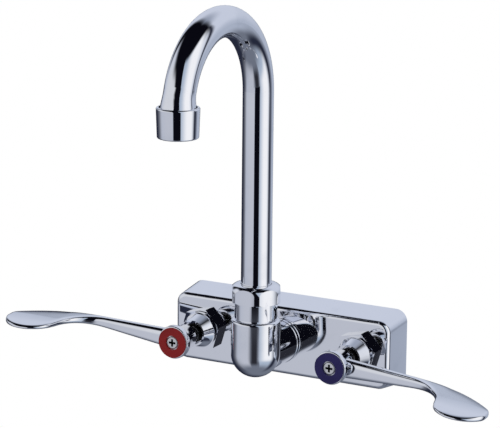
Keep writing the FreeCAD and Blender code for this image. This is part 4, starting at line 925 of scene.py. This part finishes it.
def shape_tree(name, inputs, build):
    """A Geometry Nodes tree. Build gets the tree and its input wires, and returns the shape."""
    tree = bpy.data.node_groups.new(name, "GeometryNodeTree")
    for direction in ("INPUT", "OUTPUT"):
        tree.interface.new_socket(name="Geometry", in_out=direction,
                                  socket_type="NodeSocketGeometry")
    for label in inputs + ["Material"]:
        tree.interface.new_socket(name=label, in_out="INPUT",
                                  socket_type=SOCKET_KINDS.get(label, "NodeSocketFloat"))
    group = tree.nodes.new("NodeGroupInput")
    given = {socket.name: Wire(socket) for socket in group.outputs if socket.name}
    realised = add_node(tree, "GeometryNodeRealizeInstances", {}, {0: build(tree, given)})
    finished = add_node(tree, "GeometryNodeSetMaterial", {},
                        {"Geometry": realised, "Material": given["Material"]})
    output = tree.nodes.new("NodeGroupOutput")
    tree.links.new(finished.socket, output.inputs[0])
    return tree


def grow(name, tree, sizes, finish, slot, body, place, *replaced):
    """Runs a tree with these sizes, and keeps the result as a piece at its place on a body."""
    seed = add_object(name + "_seed", bpy.data.meshes.new(name + "_seed"))
    modifier = seed.modifiers.new("shape", "NODES")
    modifier.node_group = tree
    values = {**sizes, "Material": finish}
    for item in tree.interface.items_tree:
        if item.in_out == "INPUT" and item.name in values:
            modifier[item.identifier] = values[item.name]
    piece = settle(seed, name, finish, slot, body, *replaced, place=place)
    print("%-22s %6d faces" % (name, len(piece.data.polygons)))


def vector(tree, x=0.0, y=0.0, z=0.0):
    """A vector of wires and numbers."""
    return add_node(tree, "ShaderNodeCombineXYZ", {}, {0: x, 1: y, 2: z})


def point_place(tree):
    """Where each point of the geometry lies."""
    return add_node(tree, "GeometryNodeInputPosition", {}, {})


def curve_solid(tree, curve, radius, sides):
    """A closed rod of this radius along a curve."""
    profile = add_node(tree, "GeometryNodeCurvePrimitiveCircle", {},
                       {"Resolution": sides, "Radius": radius})
    return add_node(tree, "GeometryNodeCurveToMesh", {},
                    {"Curve": curve, "Profile Curve": profile, "Fill Caps": True})


# %% [markdown]
# A pipe thread is a V ridge on a helix. Here a diamond profile follows a spiral whose radius
# stays the same, and half of the diamond is sunk in the shank. The ridge thins out over half a
# turn at each end, as a cut thread does where the die starts.

# %% Threads of the inlet shanks
THREAD_START = 0.0015       # behind the wall
POINTS_PER_TURN = 64
DIAMOND_SIDES = 4


def thread_shape(tree, given):
    """A ridge on a helix, thin at both ends."""
    turns = given["Length"] / given["Pitch"]
    spiral = add_node(tree, "GeometryNodeCurveSpiral", {}, {
        "Resolution": POINTS_PER_TURN, "Rotations": turns, "Start Radius": given["Radius"],
        "End Radius": given["Radius"], "Height": given["Length"]})
    along = add_node(tree, "GeometryNodeSplineParameter", {}, {}, output="Factor")
    taper = maths("MINIMUM", maths("MINIMUM", along, 1 - along) * turns * 2, 1.0)
    thinned = add_node(tree, "GeometryNodeSetCurveRadius", {}, {"Curve": spiral, "Radius": taper})
    return curve_solid(tree, thinned, given["Ridge"], DIAMOND_SIDES)


thread = shape_tree("pipe_thread", ["Radius", "Ridge", "Pitch", "Length"], thread_shape)
thread_sizes = {"Radius": 0.01045, "Ridge": 0.00055, "Pitch": 0.001814, "Length": 0.0135}
along_shank = Matrix.Rotation(-math.pi / 2, 4, "X")
for side, hand in SIDES:
    grow(side + "_inlet_thread", thread, thread_sizes, cast_chrome, "chrome", "faucet_body",
         Matrix.Translation((hand * VALVE_X, THREAD_START, 0)) @ along_shank)

# %% [markdown]
# The stem's end is splined, so that the handle can't slip on it. One long tooth is set on each
# point of a circle and turned to face outwards. The teeth start just inside the bonnet and
# run forward; the last few millimetres before the handle stay plain.

# %% Splines of the stems
SPLINES_FRONT = -0.0405     # y of the teeth's front ends, from where they run back


def spline_shape(tree, given):
    """Long four-sided teeth round a circle, each with a corner outwards."""
    circle = add_node(tree, "GeometryNodeMeshCircle", {},
                      {"Vertices": given["Count"], "Radius": given["Radius"]})
    tooth = add_node(tree, "GeometryNodeMeshCone", {}, {
        "Vertices": 4, "Radius Top": given["Tooth"], "Radius Bottom": given["Tooth"],
        "Depth": given["Length"]})
    facing = add_node(tree, "FunctionNodeAlignRotationToVector", {"axis": "X"},
                      {"Vector": point_place(tree)})
    return add_node(tree, "GeometryNodeInstanceOnPoints", {},
                    {"Points": circle, "Instance": tooth, "Rotation": facing})


splines = shape_tree("stem_splines", ["Count", "Radius", "Tooth", "Length"], spline_shape)
spline_sizes = {"Count": 24, "Radius": 0.0039, "Tooth": 0.00045, "Length": 0.0062}
for side, hand in SIDES:
    grow(side + "_stem_splines", splines, spline_sizes, valve_brass, "bare_brass",
         side + "_lever",
         Matrix.Translation((hand * VALVE_X, SPLINES_FRONT, 0)) @ along_shank)

# %% [markdown]
# The aerator's screen is plain weave: each wire rises over one neighbour and dips under the
# next. A wire at y along x has the height cos(pi x / p) cos(pi y / p), where p is the
# pitch. The wires that cross it are the same ones turned over about the diagonal,
# which swaps x with y and up with down, so the two never meet.

# %% Woven screen of the aerator
WIRE_SIDES = 6
STEPS_PER_PITCH = 4
HOOP_SEGMENTS, HOOP_SIDES = 96, 8
HOOP_THICKNESS = 1.6        # times the wire's


def woven_shape(tree, given):
    """Two crossing sets of waved wires in a hoop."""
    radius, pitch, wire = given["Radius"], given["Pitch"], given["Wire"]
    count = maths("FLOOR", radius * 2 / pitch)
    first = (count - 1) * pitch * -0.5
    rows = add_node(tree, "GeometryNodeMeshLine", {"mode": "OFFSET"}, {
        "Count": count, "Start Location": vector(tree, y=first), "Offset": vector(tree, y=pitch)})
    x, row, z = split(point_place(tree))
    chord = maths("SQRT", radius * radius - row * row) * 2
    line = add_node(tree, "GeometryNodeCurvePrimitiveLine", {},
                    {"Start": (-0.5, 0, 0), "End": (0.5, 0, 0)})
    wires = add_node(tree, "GeometryNodeInstanceOnPoints", {},
                     {"Points": rows, "Instance": line, "Scale": vector(tree, chord, 1.0, 1.0)})
    wires = add_node(tree, "GeometryNodeRealizeInstances", {}, {0: wires})
    wires = add_node(tree, "GeometryNodeResampleCurve", {"mode": "LENGTH"},
                     {"Curve": wires, "Length": pitch / STEPS_PER_PITCH})
    x, y, z = split(point_place(tree))
    half_turn = math.pi / pitch
    weave = maths("COSINE", x * half_turn) * maths("COSINE", y * half_turn) * wire
    waved = add_node(tree, "GeometryNodeSetPosition", {},
                     {"Geometry": wires, "Offset": vector(tree, z=weave)})
    warp = curve_solid(tree, waved, wire, WIRE_SIDES)
    weft = add_node(tree, "GeometryNodeTransform", {},
                    {"Geometry": warp, "Rotation": (math.pi, 0, math.pi / 2)})
    hoop = add_node(tree, "GeometryNodeCurvePrimitiveCircle", {},
                    {"Resolution": HOOP_SEGMENTS, "Radius": radius - wire})
    rim = curve_solid(tree, hoop, wire * HOOP_THICKNESS, HOOP_SIDES)
    joined = tree.nodes.new("GeometryNodeJoinGeometry")
    for part in (warp, weft, rim):
        tree.links.new(part.socket, joined.inputs[0])
    return Wire(joined.outputs[0])


woven = shape_tree("woven_screen", ["Radius", "Pitch", "Wire"], woven_shape)
woven_sizes = {"Radius": 0.0095, "Pitch": 0.0009, "Wire": 0.00012}
drilled = nodes["aerator_screen"]
middle = drilled.matrix_world @ (sum(map(Vector, drilled.bound_box), Vector()) / 8)
grow("aerator_wire_screen", woven, woven_sizes, wire_steel, "steel_mesh", "spout",
     Matrix.Translation(middle), "aerator_screen")
